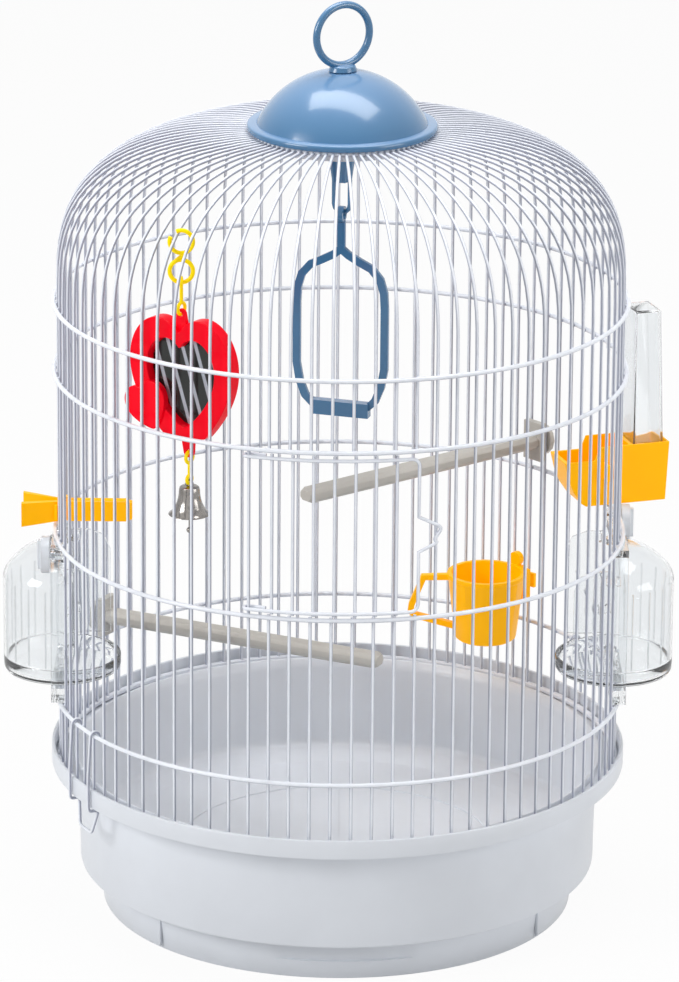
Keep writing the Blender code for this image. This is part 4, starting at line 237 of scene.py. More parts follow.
white_plastic = moulded("white_plastic", (0.72, 0.75, 0.80), 0.36, shade=0.955, coat=0.1)
# The blue's paler top is painted light from above.
blue_plastic = moulded("blue_plastic", (0.045, 0.165, 0.325), 0.2, shade=0.94, coat=0.45,
                       painted_top_light=(0.15, 0.29, 0.50), wear=0.03)
orange_plastic = moulded("orange_plastic", (1.0, 0.46, 0.0), 0.33, shade=0.96, coat=0.05, sheen=0.12,
                         glow=0.28)
yellow_plastic = moulded("yellow_plastic", (1.0, 0.74, 0.0), 0.32, shade=0.94, coat=0.05, sheen=0.15,
                         glow=0.18)
red_plastic = moulded("red_plastic", (0.93, 0.0, 0.014), 0.26, shade=0.93, coat=0.06, sheen=0.08, glow=0.14)
beige_plastic = moulded("beige_plastic", (0.55, 0.525, 0.48), 0.5, shade=0.90, grain=0.0001)
print("moulded plastics:", len(bpy.data.materials))

# %% [markdown]
# The feeders and the hopper's reservoir are clear plastic. Their walls are modelled with both faces, so
# real refraction works, and the edges turn bright and dark by themselves. Fine scuffs keep them from
# looking like new glass.

# %% Clear and frosted plastic
def clear(name, colour, roughness, weight):
    """Weight is the share of light that goes through."""
    finish = Finish(name)
    scuffs = ramp(finish, speckle(finish, 240, detail=6, roughness=0.7), 0.60, 0.78)
    finish.set(Base_Color=colour, Roughness=roughness + scuffs * 0.12)
    finish.set(Transmission_Weight=weight, IOR=1.36)
    finish.set(Normal=bump(finish, speckle(finish, 90, detail=1), 0.15, 0.0001))
    return finish.material


clear_plastic = clear("clear_plastic", (0.93, 0.945, 0.955), 0.03, 0.97)
frosted_plastic = clear("frosted_plastic", (0.86, 0.89, 0.93), 0.38, 0.45)
print("clear finishes:", clear_plastic.name, frosted_plastic.name)

# %% [markdown]
# The wires are steel under a white coat that was baked on. The coat pulls into a slight orange peel, and
# it thins to grey in patches. In the photograph each wire also has soft grey edges. A ray-traced wire of
# even white loses them in a white room, so the finish paints them as shade: it is painted greyer on the
# sides that face the next wire and underneath the hoops, where shade falls.

# %% Coated wire
def coated():
    """White wire with painted shade: its sides and undersides are painted a little greyer than its front."""
    finish = Finish("coated_wire")
    peel = speckle(finish, 900, detail=2)
    patches = ramp(finish, speckle(finish, 45, detail=4, roughness=0.6), 0.50, 0.78)
    base = mix_colours(finish, patches, (0.83, 0.86, 0.92), (0.70, 0.73, 0.79))
    x, y = (part(finish, finish.place, axis) for axis in "XY")
    normal = facing(finish)
    nx, ny, nz = (part(finish, normal, axis) for axis in "XYZ")
    # Painted shade: the sides that face the next wire and the undersides are painted greyer.
    sideways = maths(finish, "ABSOLUTE", (ny * x - nx * y) / (x * x + y * y) ** 0.5)
    painted_shade = ramp(finish, sideways, 0.45, 1.0) + ramp(finish, nz * -1, 0.3, 1.0)
    base = mix_colours(finish, painted_shade, base, (0.36, 0.38, 0.47))
    finish.set(Base_Color=base, Roughness=0.3 + peel * 0.12 + patches * 0.1)
    finish.set(Normal=bump(finish, peel, 0.3, 0.00005), Coat_Weight=0.2, Coat_Roughness=0.12)
    return finish.material


coated_wire = coated()
print("wire finish:", coated_wire.name)

# %% [markdown]
# The bell and its clapper are plated metal, and the heart holds a mirror. Metal needs something to
# reflect more than it needs texture, so only faint smears and pits break its surface. The mirror looks
# dark, with the wires in it as pale bars. In white surroundings it would turn blank, so its colour is a
# painted reflection: dark, with the wires as pale leaning bars.

# %% Metal and mirror
def plated():
    """Dark plated metal with faint smears and pits."""
    finish = Finish("polished_metal")
    smears = ramp(finish, speckle(finish, 320, detail=4, roughness=0.6), 0.45, 0.75)
    base = mix_colours(finish, smears, (0.33, 0.31, 0.29), (0.20, 0.19, 0.18))
    finish.set(Base_Color=base, Metallic=1.0, Roughness=0.12 + smears * 0.16)
    finish.set(Normal=bump(finish, speckle(finish, 1500), 0.15, 0.00003))
    return finish.material


def silvered():
    """A mirror whose colour is a painted reflection: dark, with the reflected wires as pale leaning bars."""
    finish = Finish("mirror_glass")
    smears = ramp(finish, speckle(finish, 70, detail=5, roughness=0.6), 0.45, 0.75)
    # Painted reflection: the dark colour, with faint smears in it.
    smeared_dark_reflection = mix_colours(finish, smears, (0.014, 0.017, 0.016), (0.009, 0.011, 0.010))
    # Painted reflection: the wires are painted on as pale leaning bars.
    lean_of_bars, bars_per_metre = 0.27, 131
    across = part(finish, finish.place, "X") + part(finish, finish.place, "Z") * lean_of_bars
    phase = maths(finish, "FRACT", across * bars_per_metre)
    bars = 1 - ramp(finish, maths(finish, "ABSOLUTE", phase - 0.5), 0.10, 0.15)
    base = mix_colours(finish, bars, smeared_dark_reflection, (0.42, 0.47, 0.53))
    finish.set(Base_Color=base, Metallic=0.25, Roughness=0.09 + smears * 0.1 + bars * 0.15, Coat_Weight=0.1)
    return finish.material


finishes = {
    "white_plastic": white_plastic, "blue_plastic": blue_plastic, "orange_plastic": orange_plastic,
    "yellow_plastic": yellow_plastic, "red_plastic": red_plastic, "beige_plastic": beige_plastic,
    "clear_plastic": clear_plastic, "frosted_plastic": frosted_plastic, "coated_wire": coated_wire,
    "polished_metal": plated(), "mirror_glass": silvered()}
print("finishes:", ", ".join(finishes))

# %% [markdown]
# New pieces are made from a few shapes: a turned profile, a wire along a path, and a block with a fine
# bevel. Each piece is added by one function, which also says which body it moves with and which plain
# solid it stands for.

# %% Adding a piece
crease_angle = math.radians(38)


def add(name, data, slot, body, stands_for=()):
    """Adds a mesh or curve in one of the finishes and ties it to a body of the model."""
    if isinstance(data, bmesh.types.BMesh):
        mesh = bpy.data.meshes.new(name)
        bmesh.ops.recalc_face_normals(data, faces=data.faces)
        data.to_mesh(mesh)
        data.free()
        data = mesh
        data.shade_smooth()
        data.set_sharp_from_angle(angle=crease_angle)
    data.materials.clear()
    data.materials.append(finishes[slot])
    piece = bpy.data.objects.new(name, data)
    bpy.context.scene.collection.objects.link(piece)
    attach(piece, body)
    for node in stands_for:
        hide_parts(node)
    return piece


def round_edges(piece, width, segments, angle):
    """A fine bevel along every edge that is sharper than an angle."""
    bevel = piece.modifiers.new("rounded edges", "BEVEL")
    bevel.width = width
    bevel.segments = segments
    bevel.limit_method = "ANGLE"
    bevel.angle_limit = angle
    return bevel


# %% Turned shapes and wires
tiny = 1e-6


def even_angles(steps, start=0.0, end=math.tau):
    """Even steps from one angle to another; a full turn leaves out its end, which is its start again."""
    count = steps if abs(end - start - math.tau) < tiny else steps + 1
    return [start + (end - start) * i / steps for i in range(count)]


def turn(profile, segments, start=0.0, end=math.tau):
    """Turns points of radius and height about Z; a full turn closes on itself."""
    bm = bmesh.new()
    angles = even_angles(segments, start, end)
    count = len(angles)
    whole = count == segments
    rings = []
    for radius, z in profile:
        if radius < tiny and whole:
            rings.append([bm.verts.new((0, 0, z))])
            continue
        rings.append([bm.verts.new((radius * math.cos(a), radius * math.sin(a), z)) for a in angles])
    for one, two in zip(rings, rings[1:] + rings[:1]):
        if len(one) == len(two) == 1:
            continue
        for i in range(segments):
            j = (i + 1) % count
            corners = [one[i % len(one)], one[j % len(one)], two[j % len(two)], two[i % len(two)]]
            bm.faces.new(list(dict.fromkeys(corners)))
    if not whole:
        bm.faces.new([ring[0] for ring in rings])
        bm.faces.new([ring[-1] for ring in rings])
    return bm


def wires(name, paths, radius, closed=False, sides=2):
    """A curve with a round section along each path."""
    curve = bpy.data.curves.new(name, "CURVE")
    curve.dimensions = "3D"
    curve.bevel_depth = radius
    curve.bevel_resolution = sides
    curve.use_fill_caps = True
    for path in paths:
        spline = curve.splines.new("POLY")
        spline.points.add(len(path) - 1)
        for point, place in zip(spline.points, path):
            point.co = (*place, 1)
        spline.use_cyclic_u = closed
        spline.use_smooth = True
    return curve


def moved(bm, matrix):
    """The same mesh, moved to its place."""
    bmesh.ops.transform(bm, matrix=matrix, verts=bm.verts)
    return bm


# %% Paths
def circle(centre, radius, right, up, start=0.0, end=math.tau, steps=32):
    """Points on an arc, from one angle to the other."""
    return [centre + radius * (right * math.cos(a) + up * math.sin(a))
            for a in even_angles(steps, start, end)]


def rounded(path, radius, steps=5):
    """The same path with its inner corners rounded, by less than half of the sides that meet there."""
    result, most = [path[0]], 0.45
    for before, corner, after in zip(path, path[1:], path[2:]):
        reach_in = min(radius, (before - corner).length * most)
        reach_out = min(radius, (after - corner).length * most)
        start = corner + (before - corner).normalized() * reach_in
        end = corner + (after - corner).normalized() * reach_out
        for i in range(steps + 1):
            t = i / steps
            result.append(start * (1 - t) ** 2 + corner * 2 * t * (1 - t) + end * t ** 2)
    return [*result, path[-1]]


X, Y, Z = Vector((1, 0, 0)), Vector((0, 1, 0)), Vector((0, 0, 1))
mm = 0.001

# %% [markdown]
# Upright wires, 87 of them, rise from a ring in the tray's gutter, lean over in a full shoulder and end
# in a small ring under the cap. The shoulder is a superellipse: flatter on top and fuller at the side
# than a quarter circle. Four openings cut some of them short.

# %% The cage's wall
wire_count = 87
cage_r = 158 * mm
wire_r = 0.9 * mm
step = math.tau / wire_count
first_azimuth = math.radians(-1.427)
shoulder_z, crown_z = 365.1 * mm, 450.2 * mm
crown_inner, crown_r = 34.55 * mm, 49 * mm
squareness = 2.7


def azimuth_of(index):
    """The angle of a wire round the cage, from the front to the right."""
    return first_azimuth + index * step


def on_wall(azimuth, radius, z):
    """A place by its angle round the cage, its distance from the axis and its height."""
    return Vector((radius * math.sin(azimuth), -radius * math.cos(azimuth), z))


def axes_at(azimuth):
    """Axes of the wall at an angle: outward and along it."""
    return (Vector((math.sin(azimuth), -math.cos(azimuth), 0)),
            Vector((math.cos(azimuth), math.sin(azimuth), 0)))


def columns(x, y, z):
    """The matrix that turns and stretches X, Y and Z to these."""
    return Matrix((x, y, z)).transposed().to_4x4()


def wall_matrix(index):
    """Turns X to point outward at a wire and Y along the wall."""
    return columns(*axes_at(azimuth_of(index)), Z)


def shoulder(turned):
    """Radius and height of the shoulder, from its foot at 0 to its top at a quarter turn."""
    power = 2 / squareness
    radius = crown_inner + (cage_r - crown_inner) * math.cos(turned) ** power
    return radius, shoulder_z + (crown_z - shoulder_z) * math.sin(turned) ** power


def shoulder_turn(radius):
    """Where on the shoulder a radius is reached."""
    share = (radius - crown_inner) / (cage_r - crown_inner)
    return math.acos(share ** (squareness / 2))


print("wire spacing", round(step * cage_r, 5))


# %% Paths of the upright wires
shoulder_steps = 18
past_hoop = 1.1 * mm
foot_z, foot_height = 84.5 * mm, 2.6 * mm
hoop_r, hoop_centre = 1.25 * mm, 160.45 * mm
hoop_zs = (354.5 * mm, 314.3 * mm, 219.5 * mm, 124.4 * mm)
openings = {}
for low, high, spans in ((hoop_zs[3], hoop_zs[2], ((-24, -19), (20, 25))),
                         (hoop_zs[2], hoop_zs[1], ((-3, 4), (26, 27)))):
    for span in spans:
        for index in range(span[0], span[1] + 1):
            openings[index % wire_count] = (low, high)


def upright(index, low):
    """A wire from a height up its wall and over the shoulder to the crown ring."""
    last = shoulder_turn(crown_r)
    path = [on_wall(azimuth_of(index), cage_r, low)]
    for i in range(shoulder_steps + 1):
        path.append(on_wall(azimuth_of(index), *shoulder(last * i / shoulder_steps)))
    return path


paths = []
for index in range(wire_count):
    if index in openings:
        low, high = openings[index]
        azimuth = azimuth_of(index)
        paths.append([on_wall(azimuth, cage_r, foot_z), on_wall(azimuth, cage_r, low + past_hoop)])
        paths.append(upright(index, high - past_hoop))
    else:
        paths.append(upright(index, foot_z))
add("cage_wires", wires("cage_wires", paths, wire_r), "coated_wire", "cage", ["wire_cage"])
print("upright wires:", len(paths))

# %% [markdown]
# Four hoops hold the wires from outside, each spot-welded where it crosses one. A weld squeezes the two
# wires together and leaves a small flat bead, which is why a crossing looks heavier than a wire.

# %% Hoops, end rings and welds
for number, z in enumerate(hoop_zs, start=1):
    path = circle(Z * z, hoop_centre, X, Y, steps=144)
    add(f"hoop_wire_{number}", wires(f"hoop_wire_{number}", [path], hoop_r, closed=True, sides=3),
        "coated_wire", "cage", [f"hoop_{number}"])
crown_height, band_edge = 2.1 * mm, 0.5 * mm
crown_low = crown_z - crown_height / 2
for name, middle, width, low, height in (("crown_band", crown_r, 3 * mm, crown_low, crown_height),
                                         ("foot_band", cage_r, 3.2 * mm, foot_z, foot_height)):
    inner, outer, high = middle - width / 2, middle + width / 2, low + height
    band = [(inner, low + band_edge), (inner + band_edge, low), (outer - band_edge, low),
            (outer, low + band_edge), (outer, high - band_edge), (outer - band_edge, high),
            (inner + band_edge, high), (inner, high - band_edge)]
    add(name, turn(band, 96), "coated_wire", "cage")

weld_r = cage_r + 1.05 * mm
weld_depth, weld_width, weld_height = 0.75 * mm, 1.15 * mm, 1.3 * mm
welds = bmesh.new()
for z in hoop_zs:
    for index in range(wire_count):
        place = on_wall(azimuth_of(index), weld_r, z)
        outward, along = axes_at(azimuth_of(index))
        shape = columns(outward * weld_depth, along * weld_width, Z * weld_height)
        bmesh.ops.create_icosphere(welds, subdivisions=1, radius=1, matrix=Matrix.Translation(place) @ shape)
add("weld_beads", welds, "coated_wire", "cage")
print("welds:", len(hoop_zs) * wire_count)

# %% [markdown]
# The tray is one deep moulding. Its rim has a gutter that the cage's foot stands in, its wall steps in to
# a foot, and the foot has a long slot in front and thin ribs round it. All of it but the slot and ribs is
# one turned profile, so it is turned once, finely, and the slot's rows are pushed in where the slot is.

# %% The tray
slot_low, slot_high, slot_depth = 10.7 * mm, 19.1 * mm, 1.3 * mm
slot_start, slot_end = math.radians(-13.7), math.radians(17.0)
slot_bridge, slot_bridge_half = math.radians(1.65), 0.006
foot_low_r, foot_draft, foot_top_z = 134 * mm, 2.3 * mm, 22 * mm


def foot_radius(z):
    """The foot is a little wider at its top."""
    return foot_low_r + foot_draft * z / foot_top_z


def in_metres(points):
    """Points of radius and height that are written in millimetres."""
    return [(radius * mm, z * mm) for radius, z in points]


underside = in_metres([(130.9, 0.4), (131.3, 0), (133.6, 0), (134.0, 0.5)])
slot_rows = [
    (foot_radius(slot_low) - 0.02 * mm, slot_low - 0.3 * mm), (foot_radius(slot_low), slot_low),
    (foot_radius(slot_high), slot_high), (foot_radius(slot_high), slot_high + 0.3 * mm)]
wall_and_rim = in_metres([
    (136.3, 21.6), (136.9, 22.1), (145.4, 22.8), (146.6, 23.6), (147.05, 25.2), (147.95, 81.2), (148.6, 81.9),
    (162.4, 82), (163.0, 82.3), (163.2, 83), (163.2, 92), (162.9, 92.7), (162.3, 93)])
gutter_and_floor = in_metres([
    (161.7, 93), (161.2, 92.7), (161.0, 92.1), (160.95, 85.1), (160.3, 84.4), (151.2, 84.3), (150.5, 84.8),
    (150.4, 87.4), (149.9, 88), (149.1, 88), (148.5, 87.6), (146.1, 82), (145.1, 39), (144.3, 36.2),
    (142.6, 34.6), (140.3, 33.9), (139.5, 33.6), (131.2, 29.4), (129.6, 29), (90.5, 29), (90.0, 28.9),
    (89.8, 28.1), (89.3, 28), (0, 28), (0, 26.2), (129.5, 26.2), (133.0, 22)])
tray = turn(underside + slot_rows + wall_and_rim + gutter_and_floor, 176)
pushed = 0
for vertex in tray.verts:
    azimuth = math.atan2(vertex.co.x, -vertex.co.y)
    inside = slot_start < azimuth < slot_end and abs(azimuth - slot_bridge) > slot_bridge_half
    on_slot = min(abs(vertex.co.z - slot_low), abs(vertex.co.z - slot_high)) < tiny
    if inside and on_slot and vertex.co.xy.length > 130 * mm:
        vertex.co.xy *= 1 - slot_depth / vertex.co.xy.length
        pushed += 1
add("tray_shell", tray, "white_plastic", "cage", ["tray"])
print("slot points pushed in:", pushed)

# %% Ribs of the foot and the seam in the floor
rib_r, rib_z = 135.8 * mm, 11.9 * mm
rib_depth, rib_width, rib_height = 1.6 * mm, 1.8 * mm, 19.4 * mm
ribs = bmesh.new()
for degrees in (-46.6, 56.5, 133.4, -123.5):
    outward, along = axes_at(math.radians(degrees))
    shape = columns(outward * rib_depth, along * rib_width, Z * rib_height)
    place = Matrix.Translation(outward * rib_r + Z * rib_z)
    bmesh.ops.create_cube(ribs, size=1, matrix=place @ shape)
seam_width, seam_length, seam_height, seam_z = 2.4 * mm, 176 * mm, 1.4 * mm, 27.9 * mm
seam = Matrix.Translation((0, 0, seam_z)) @ Matrix.Diagonal((seam_width, seam_length, seam_height, 1))
bmesh.ops.create_cube(ribs, size=1, matrix=seam)
bmesh.ops.bevel(ribs, geom=list(ribs.edges), offset=0.35 * mm, segments=2, affect="EDGES")
print("faces of the ribs and the seam:", len(ribs.faces))
add("tray_ribs", ribs, "white_plastic", "cage")

# %% [markdown]
# The cap is a low dome with a rounded brim that sits on the ends of the wires. Its gloss shows the studio
# lamp as one soft highlight, so the dome needs many steps, or the highlight breaks into bands.

# %% The cap
cap_base = crown_z + 1.45 * mm
cap_wall, brim_height = 2.2 * mm, 3.8 * mm
dome_r, dome_rise, dome_steps = 47.5 * mm, 29.8 * mm, 24
land_r, inside_r, boss_r, bore_r, catch_r = 8.8 * mm, 44.8 * mm, 7.2 * mm, 4.7 * mm, 3.3 * mm
sphere_r = (dome_r ** 2 + dome_rise ** 2) / (2 * dome_rise)
sphere_z = cap_base + brim_height + dome_rise - sphere_r


def dome_z(radius, skin=0.0):
    """Height of the dome at a radius, or of a face that lies a skin below it."""
    return sphere_z + math.sqrt((sphere_r - skin) ** 2 - radius ** 2)


land_z = dome_z(land_r)
brim = in_metres([
    (52.0, 0), (52.6, 0.3), (53, 1.0), (53, 2.6), (52.6, 3.4), (51.8, 3.8), (49.2, 3.75), (48.1, 3.95)])
cap_profile = [(inside_r, cap_base), *[(radius, cap_base + z) for radius, z in brim]]
for i in range(dome_steps + 1):
    radius = dome_r + (land_r - dome_r) * i / dome_steps
    cap_profile.append((radius, dome_z(radius)))
catch_z = dome_z(bore_r, cap_wall)
cap_profile += [(catch_r, land_z), (catch_r, catch_z), (bore_r, catch_z), (bore_r, crown_low),
                (boss_r, crown_low)]
for i in range(dome_steps // 2 + 1):
    radius = boss_r + (inside_r - boss_r) * i / (dome_steps // 2)
    cap_profile.append((radius, dome_z(radius, cap_wall)))
add("cap_dome", turn(cap_profile, 112), "blue_plastic", "cage", ["cap"])
print("cap top at", round(land_z, 4))

# %% [markdown]
# The ring that the cage hangs from is round in section and stands on a short, nearly round collar. The
# collar swells where it meets the ring and where it meets the cap.

# %% The hanging ring
ring_yaw, ring_r, ring_wire = math.radians(31), 16.9 * mm, 2.1 * mm
ring_right = Vector((math.cos(ring_yaw), math.sin(ring_yaw), 0))
ring_z = 505.11 * mm
ring_centre = Z * ring_z
loop = circle(ring_centre, ring_r, ring_right, Z, steps=96)
add("ring_loop", wires("ring_loop", [loop], ring_wire, closed=True, sides=6),
    "blue_plastic", "hanging_ring", ["hanging_ring"])
collar_profile = in_metres([
    (0, 0.3), (7.8, 0.3), (8.2, 0.8), (8.0, 1.5), (7.5, 2.2), (7.4, 2.8), (6.8, 3.4), (4.5, 3.9), (0, 4.4)])
collar = turn([(radius, land_z + z) for radius, z in collar_profile], 56)
collar_share = 0.88
squeeze = Matrix.Rotation(ring_yaw, 4, "Z") @ Matrix.Diagonal((1, collar_share, 1, 1))
add("ring_collar", moved(collar, squeeze), "blue_plastic", "hanging_ring")
print("ring centre at", round(ring_z, 4))

# %% [markdown]
# Many small mouldings have the right shape already, and only their knife-sharp edges give them away. A
# real mould leaves every edge with a small round, which catches a thin line of light. Each such node is
# copied, its flat faces are joined again, and a fine bevel goes round it.

# %% Rounding the small mouldings
slots = {row["node"]: row["material_slot"] for row in frame["record"]["subparts"]}
joined_dist, flat_angle = 2e-6, math.radians(1.5)


def soften(node, width):
    """A copy of a node with every sharp edge rounded."""
    data = bmesh.new()
    data.from_mesh(frame["nodes"][node].data)
    bmesh.ops.remove_doubles(data, verts=data.verts, dist=joined_dist)
    bmesh.ops.dissolve_limit(data, angle_limit=flat_angle, verts=data.verts, edges=data.edges)
    piece = add(f"{node}_moulding", data, slots[node], body_of[node], [node])
    round_edges(piece, width, 2, crease_angle).harden_normals = True


widths = {
    "crown_disc": 0.5, "clamp_plug": 0.35, "swing": 0.55, "left_feeder_frame": 0.4,
    "right_feeder_frame": 0.4, "left_feeder_lock": 0.5, "right_feeder_lock": 0.5,
    "hopper_box": 0.4, "hopper_reservoir": 0.5, "seed_cup": 0.4, "cup_clip": 0.4,
    "upper_perch": 0.5, "lower_perch": 0.5, "upper_perch_nut": 0.5, "lower_perch_nut": 0.5,
    "peg_fixed_arm": 0.4, "peg_moving_arm": 0.4, "peg_pin": 0.2, "heart_mirror": 0.2}
for node, width in widths.items():
    soften(node, width * mm)
print("mouldings softened:", len(widths))

# %% [markdown]
# The door is one bent wire with seven upright bars welded behind it. Its two ends curl round a wire of
# the cage as hinges, and a springy tongue at the free side hooks behind the wall.

# %% The door
door_r, door_wire = 160.5 * mm, 1 * mm
hinge = azimuth_of(-4)
edge, reach, corner_r = math.radians(15.5), math.radians(20.1), 4.2 * mm
door_top, door_low, tongue_z, tongue_half = 310 * mm, 223.3 * mm, 266.5 * mm, 10.5 * mm
curl_end, bar_r, bar_reach = 9 * mm, 159.0 * mm, 2.1 * mm


def on_door(s, z):
    """A place on the door's curve, by its way round and its height."""
    return on_wall(s / door_r, door_r, z)


def hinge_curl(z):
    """A half turn round the hinge wire, with a straight end inside the wall."""
    outward, along = axes_at(hinge)
    centre = on_wall(hinge, cage_r, z)
    bend = circle(centre, door_r - cage_r, outward, along, 0, -math.pi, 12)
    return [centre - outward * (door_r - cage_r) + along * curl_end, *bend[::-1]]


hinge_s, edge_s, reach_s = hinge * door_r, edge * door_r, reach * door_r
turn_s = edge_s - corner_r
run_steps, bend_steps = 24, 8


def door_half(z, direction):
    """The top or bottom of the frame: its hinge curl, its run and its outer corner."""
    run = [on_door(hinge_s + (turn_s - hinge_s) * i / run_steps, z) for i in range(1, run_steps + 1)]
    bend = [on_door(turn_s + corner_r * math.sin(a), z + direction * corner_r * (1 - math.cos(a)))
            for a in (math.pi / 2 * i / bend_steps for i in range(1, bend_steps + 1))]
    return hinge_curl(z) + run + bend


shares = ((0, 1), (0.85, 0.47), (1, 0.27), (0.68, -0.28), (0.83, -0.46), (0, -0.9))
tongue = [on_door(edge_s + (reach_s - edge_s) * x, tongue_z + tongue_half * z) for x, z in shares]
outline = door_half(door_top, -1) + rounded(tongue, 2 * mm) + door_half(door_low, 1)[::-1]
bars = []
for degrees in (-13.18, -9.04, -4.98, -0.90, 3.18, 7.17, 11.22):
    azimuth = math.radians(degrees)
    bars.append([on_wall(azimuth, bar_r, z) for z in (door_low - bar_reach, door_top + bar_reach)])
add("door_frame", wires("door_frame", [outline], door_wire, sides=3), "coated_wire", "door", ["door"])
add("door_bars", wires("door_bars", bars, wire_r), "coated_wire", "door")
print("door bars:", len(bars))

# %% [markdown]
# Two sprung wires clip the cage to its tray. Each hooks over the lowest hoop at two places, runs down
# outside the rim, tucks under it and ends in a finger loop.

# %% The tray clips
rim_r, rim_top, rim_low = (size * mm for size in (163.2, 93, 82))
hook_r, clip_bend, loop_share = 2.75 * mm, 2.2 * mm, 0.62
hook_y, hook_x = hoop_centre * math.sin(step), hoop_centre * math.cos(step)
leg, leg_rise = rim_r + 1.2 * mm, 6 * mm
tuck = ((0, 0), (0.9, 1.6), (5, 1.6), (5.9, 3.4))
loop_in, loop_drop = 4.1 * mm, 16.5 * mm
for side, index in (("left", -14.5), ("right", 28.5)):
    placed = wall_matrix(index)
    centre = Vector((hook_x, 0, hoop_zs[3]))
    hook = circle(centre, hook_r, X, Z, math.radians(205), 0, 14)
    under_rim = [Vector((leg - inward * mm, 0, rim_low - drop * mm)) for inward, drop in tuck]
    bends = [hook[-1], Vector((leg, 0, rim_top + leg_rise)), *under_rim]
    foot = Vector((leg - loop_in, 0, rim_low - loop_drop))
    left = [point - Y * hook_y for point in bends]
    right = [point + Y * hook_y for point in bends[::-1]]
    middle = [foot - Y * hook_y * loop_share, foot + Y * hook_y * loop_share]
    path = [point - Y * hook_y for point in hook[:-1]] + rounded([*left, *middle, *right], clip_bend)
    path += [point + Y * hook_y for point in hook[-2::-1]]
    path = [placed @ point for point in path]
    name = f"{side}_tray_clip"
    add(f"{name}_wire", wires(f"{name}_wire", [path], wire_r, sides=3), "coated_wire", name, [name])
print("tray clips hook at", round(hook_x, 4))

# %% [markdown]
# The toy hangs from a wire of the dome: an open double curl, a link, a deep heart with a mirror, one more
# link, and a bell. The heart's outline comes from two short sums of waves, which is easier to tune than
# a row of points: one sum widens the lobes, the other sharpens the tip.

# %% Places of the toy's parts
toy_r, toy_index = 142.5 * mm, -9
curl_r, curl_gap, link_length = 6.3 * mm, 16.4 * mm, 17.8 * mm
toy_wire = on_wall(azimuth_of(toy_index), *shoulder(shoulder_turn(toy_r)))
upper = toy_wire + Vector((3, 0, -2.4)) * mm
lower = upper - Z * curl_gap
link_pin = lower - Z * curl_r
hole = link_pin - Z * link_length
yaw, heart_roll, heart_drop = math.radians(-35), math.radians(4), 76.9 * mm
face = Vector((math.cos(yaw), math.sin(yaw), 0))
back = Vector((-math.sin(yaw), math.cos(yaw), 0))
heart_top = hole.z - 2 * mm
low_hole = hole + heart_drop * (face * math.sin(heart_roll) - Z * math.cos(heart_roll))
hook_wire, link_wire, bell_wire, play = 1.2 * mm, 1.0 * mm, 0.7 * mm, 0.3 * mm
top_eye_r, wide_eye_r, small_eye_r, bell_eye_r = 2.6 * mm, 3.2 * mm, 2.3 * mm, 2.1 * mm
bell_stem, eye_rise = 7.2 * mm, 1.05 * mm
link_loop = low_hole - Z * wide_eye_r
small_loop = link_loop - Z * (wide_eye_r + bell_stem + small_eye_r)
bell_eye = small_loop + Z * (link_wire + bell_wire + play - small_eye_r - bell_eye_r)
bell_top = bell_eye.z - eye_rise
print("toy hangs at", tuple(round(x, 4) for x in toy_wire))

# %% The double hook and the links
upper_curl = circle(upper, curl_r, X, Z, math.radians(115), math.radians(-205), 44)
lower_curl = circle(lower, curl_r, X, Z, steps=44)
ends = [centre + curl_r * (X * math.cos(a) + Z * math.sin(a))
        for centre, a in ((upper, math.radians(-50)), (lower, math.radians(140)))]
hook = wires("toy_hook_curls", [upper_curl, ends], hook_wire, sides=4)
add("toy_hook_curls", hook, "yellow_plastic", "toy_hook", ["toy_hook"])
curl = wires("toy_hook_loop", [lower_curl], hook_wire, closed=True, sides=4)
add("toy_hook_loop", curl, "yellow_plastic", "toy_hook")
link_top = link_pin + Z * (hook_wire + play - (top_eye_r - link_wire))
link_low = hole + Z * wide_eye_r
for name, body, loops in (
        ("toy_link", "heart", ((link_top, top_eye_r, Y), (link_low, wide_eye_r, back))),
        ("bell_link", "bell", ((link_loop, wide_eye_r, back), (small_loop, small_eye_r, back)))):
    rings = [circle(centre, radius, right, Z, steps=28) for centre, radius, right in loops]
    eyes = wires(f"{name}_loops", rings, link_wire, closed=True, sides=3)
    add(f"{name}_loops", eyes, "yellow_plastic", body, [name])
    stem = [loops[0][0] - Z * loops[0][1], loops[1][0] + Z * loops[1][1]]
    add(f"{name}_stem", wires(f"{name}_stem", [stem], link_wire, sides=3), "yellow_plastic", body)
print("links from", round(link_top.z, 4), "and from", round(link_loop.z, 4))


# %% The heart's outline
def heart(width, height, top, points):
    """Points of a heart in x and z, from the notch round."""
    raw = []
    for a in even_angles(points):
        x = math.sin(a) - 0.1 * math.sin(2 * a) - 0.2 * math.sin(3 * a)
        z = 13 * math.cos(a) - 3.2 * math.cos(2 * a) - 1.5 * math.cos(3 * a) - 0.3 * math.cos(4 * a)
        raw.append((x, z))
    wide = max(x for x, z in raw)
    high, low = max(z for x, z in raw), min(z for x, z in raw)
    return [(x / wide * width / 2, top - (high - z) / (high - low) * height) for x, z in raw]


def extrude(outline, near, far):
    """A plate from an outline in x and z, between two depths."""
    bm = bmesh.new()
    front = bm.faces.new([bm.verts.new((x, near, z)) for x, z in outline])
    made = bmesh.ops.extrude_face_region(bm, geom=[front])["geom"]
    for vertex in made:
        if isinstance(vertex, bmesh.types.BMVert):
            vertex.co.y = far
    return bm


def join_rings(bm, rings):
    """Quads between each ring of points and the next, and from the last to the first."""
    for one, two in zip(rings, rings[1:] + rings[:1]):
        for i in range(len(one)):
            j = (i + 1) % len(one)
            bm.faces.new((one[i], one[j], two[j], two[i]))


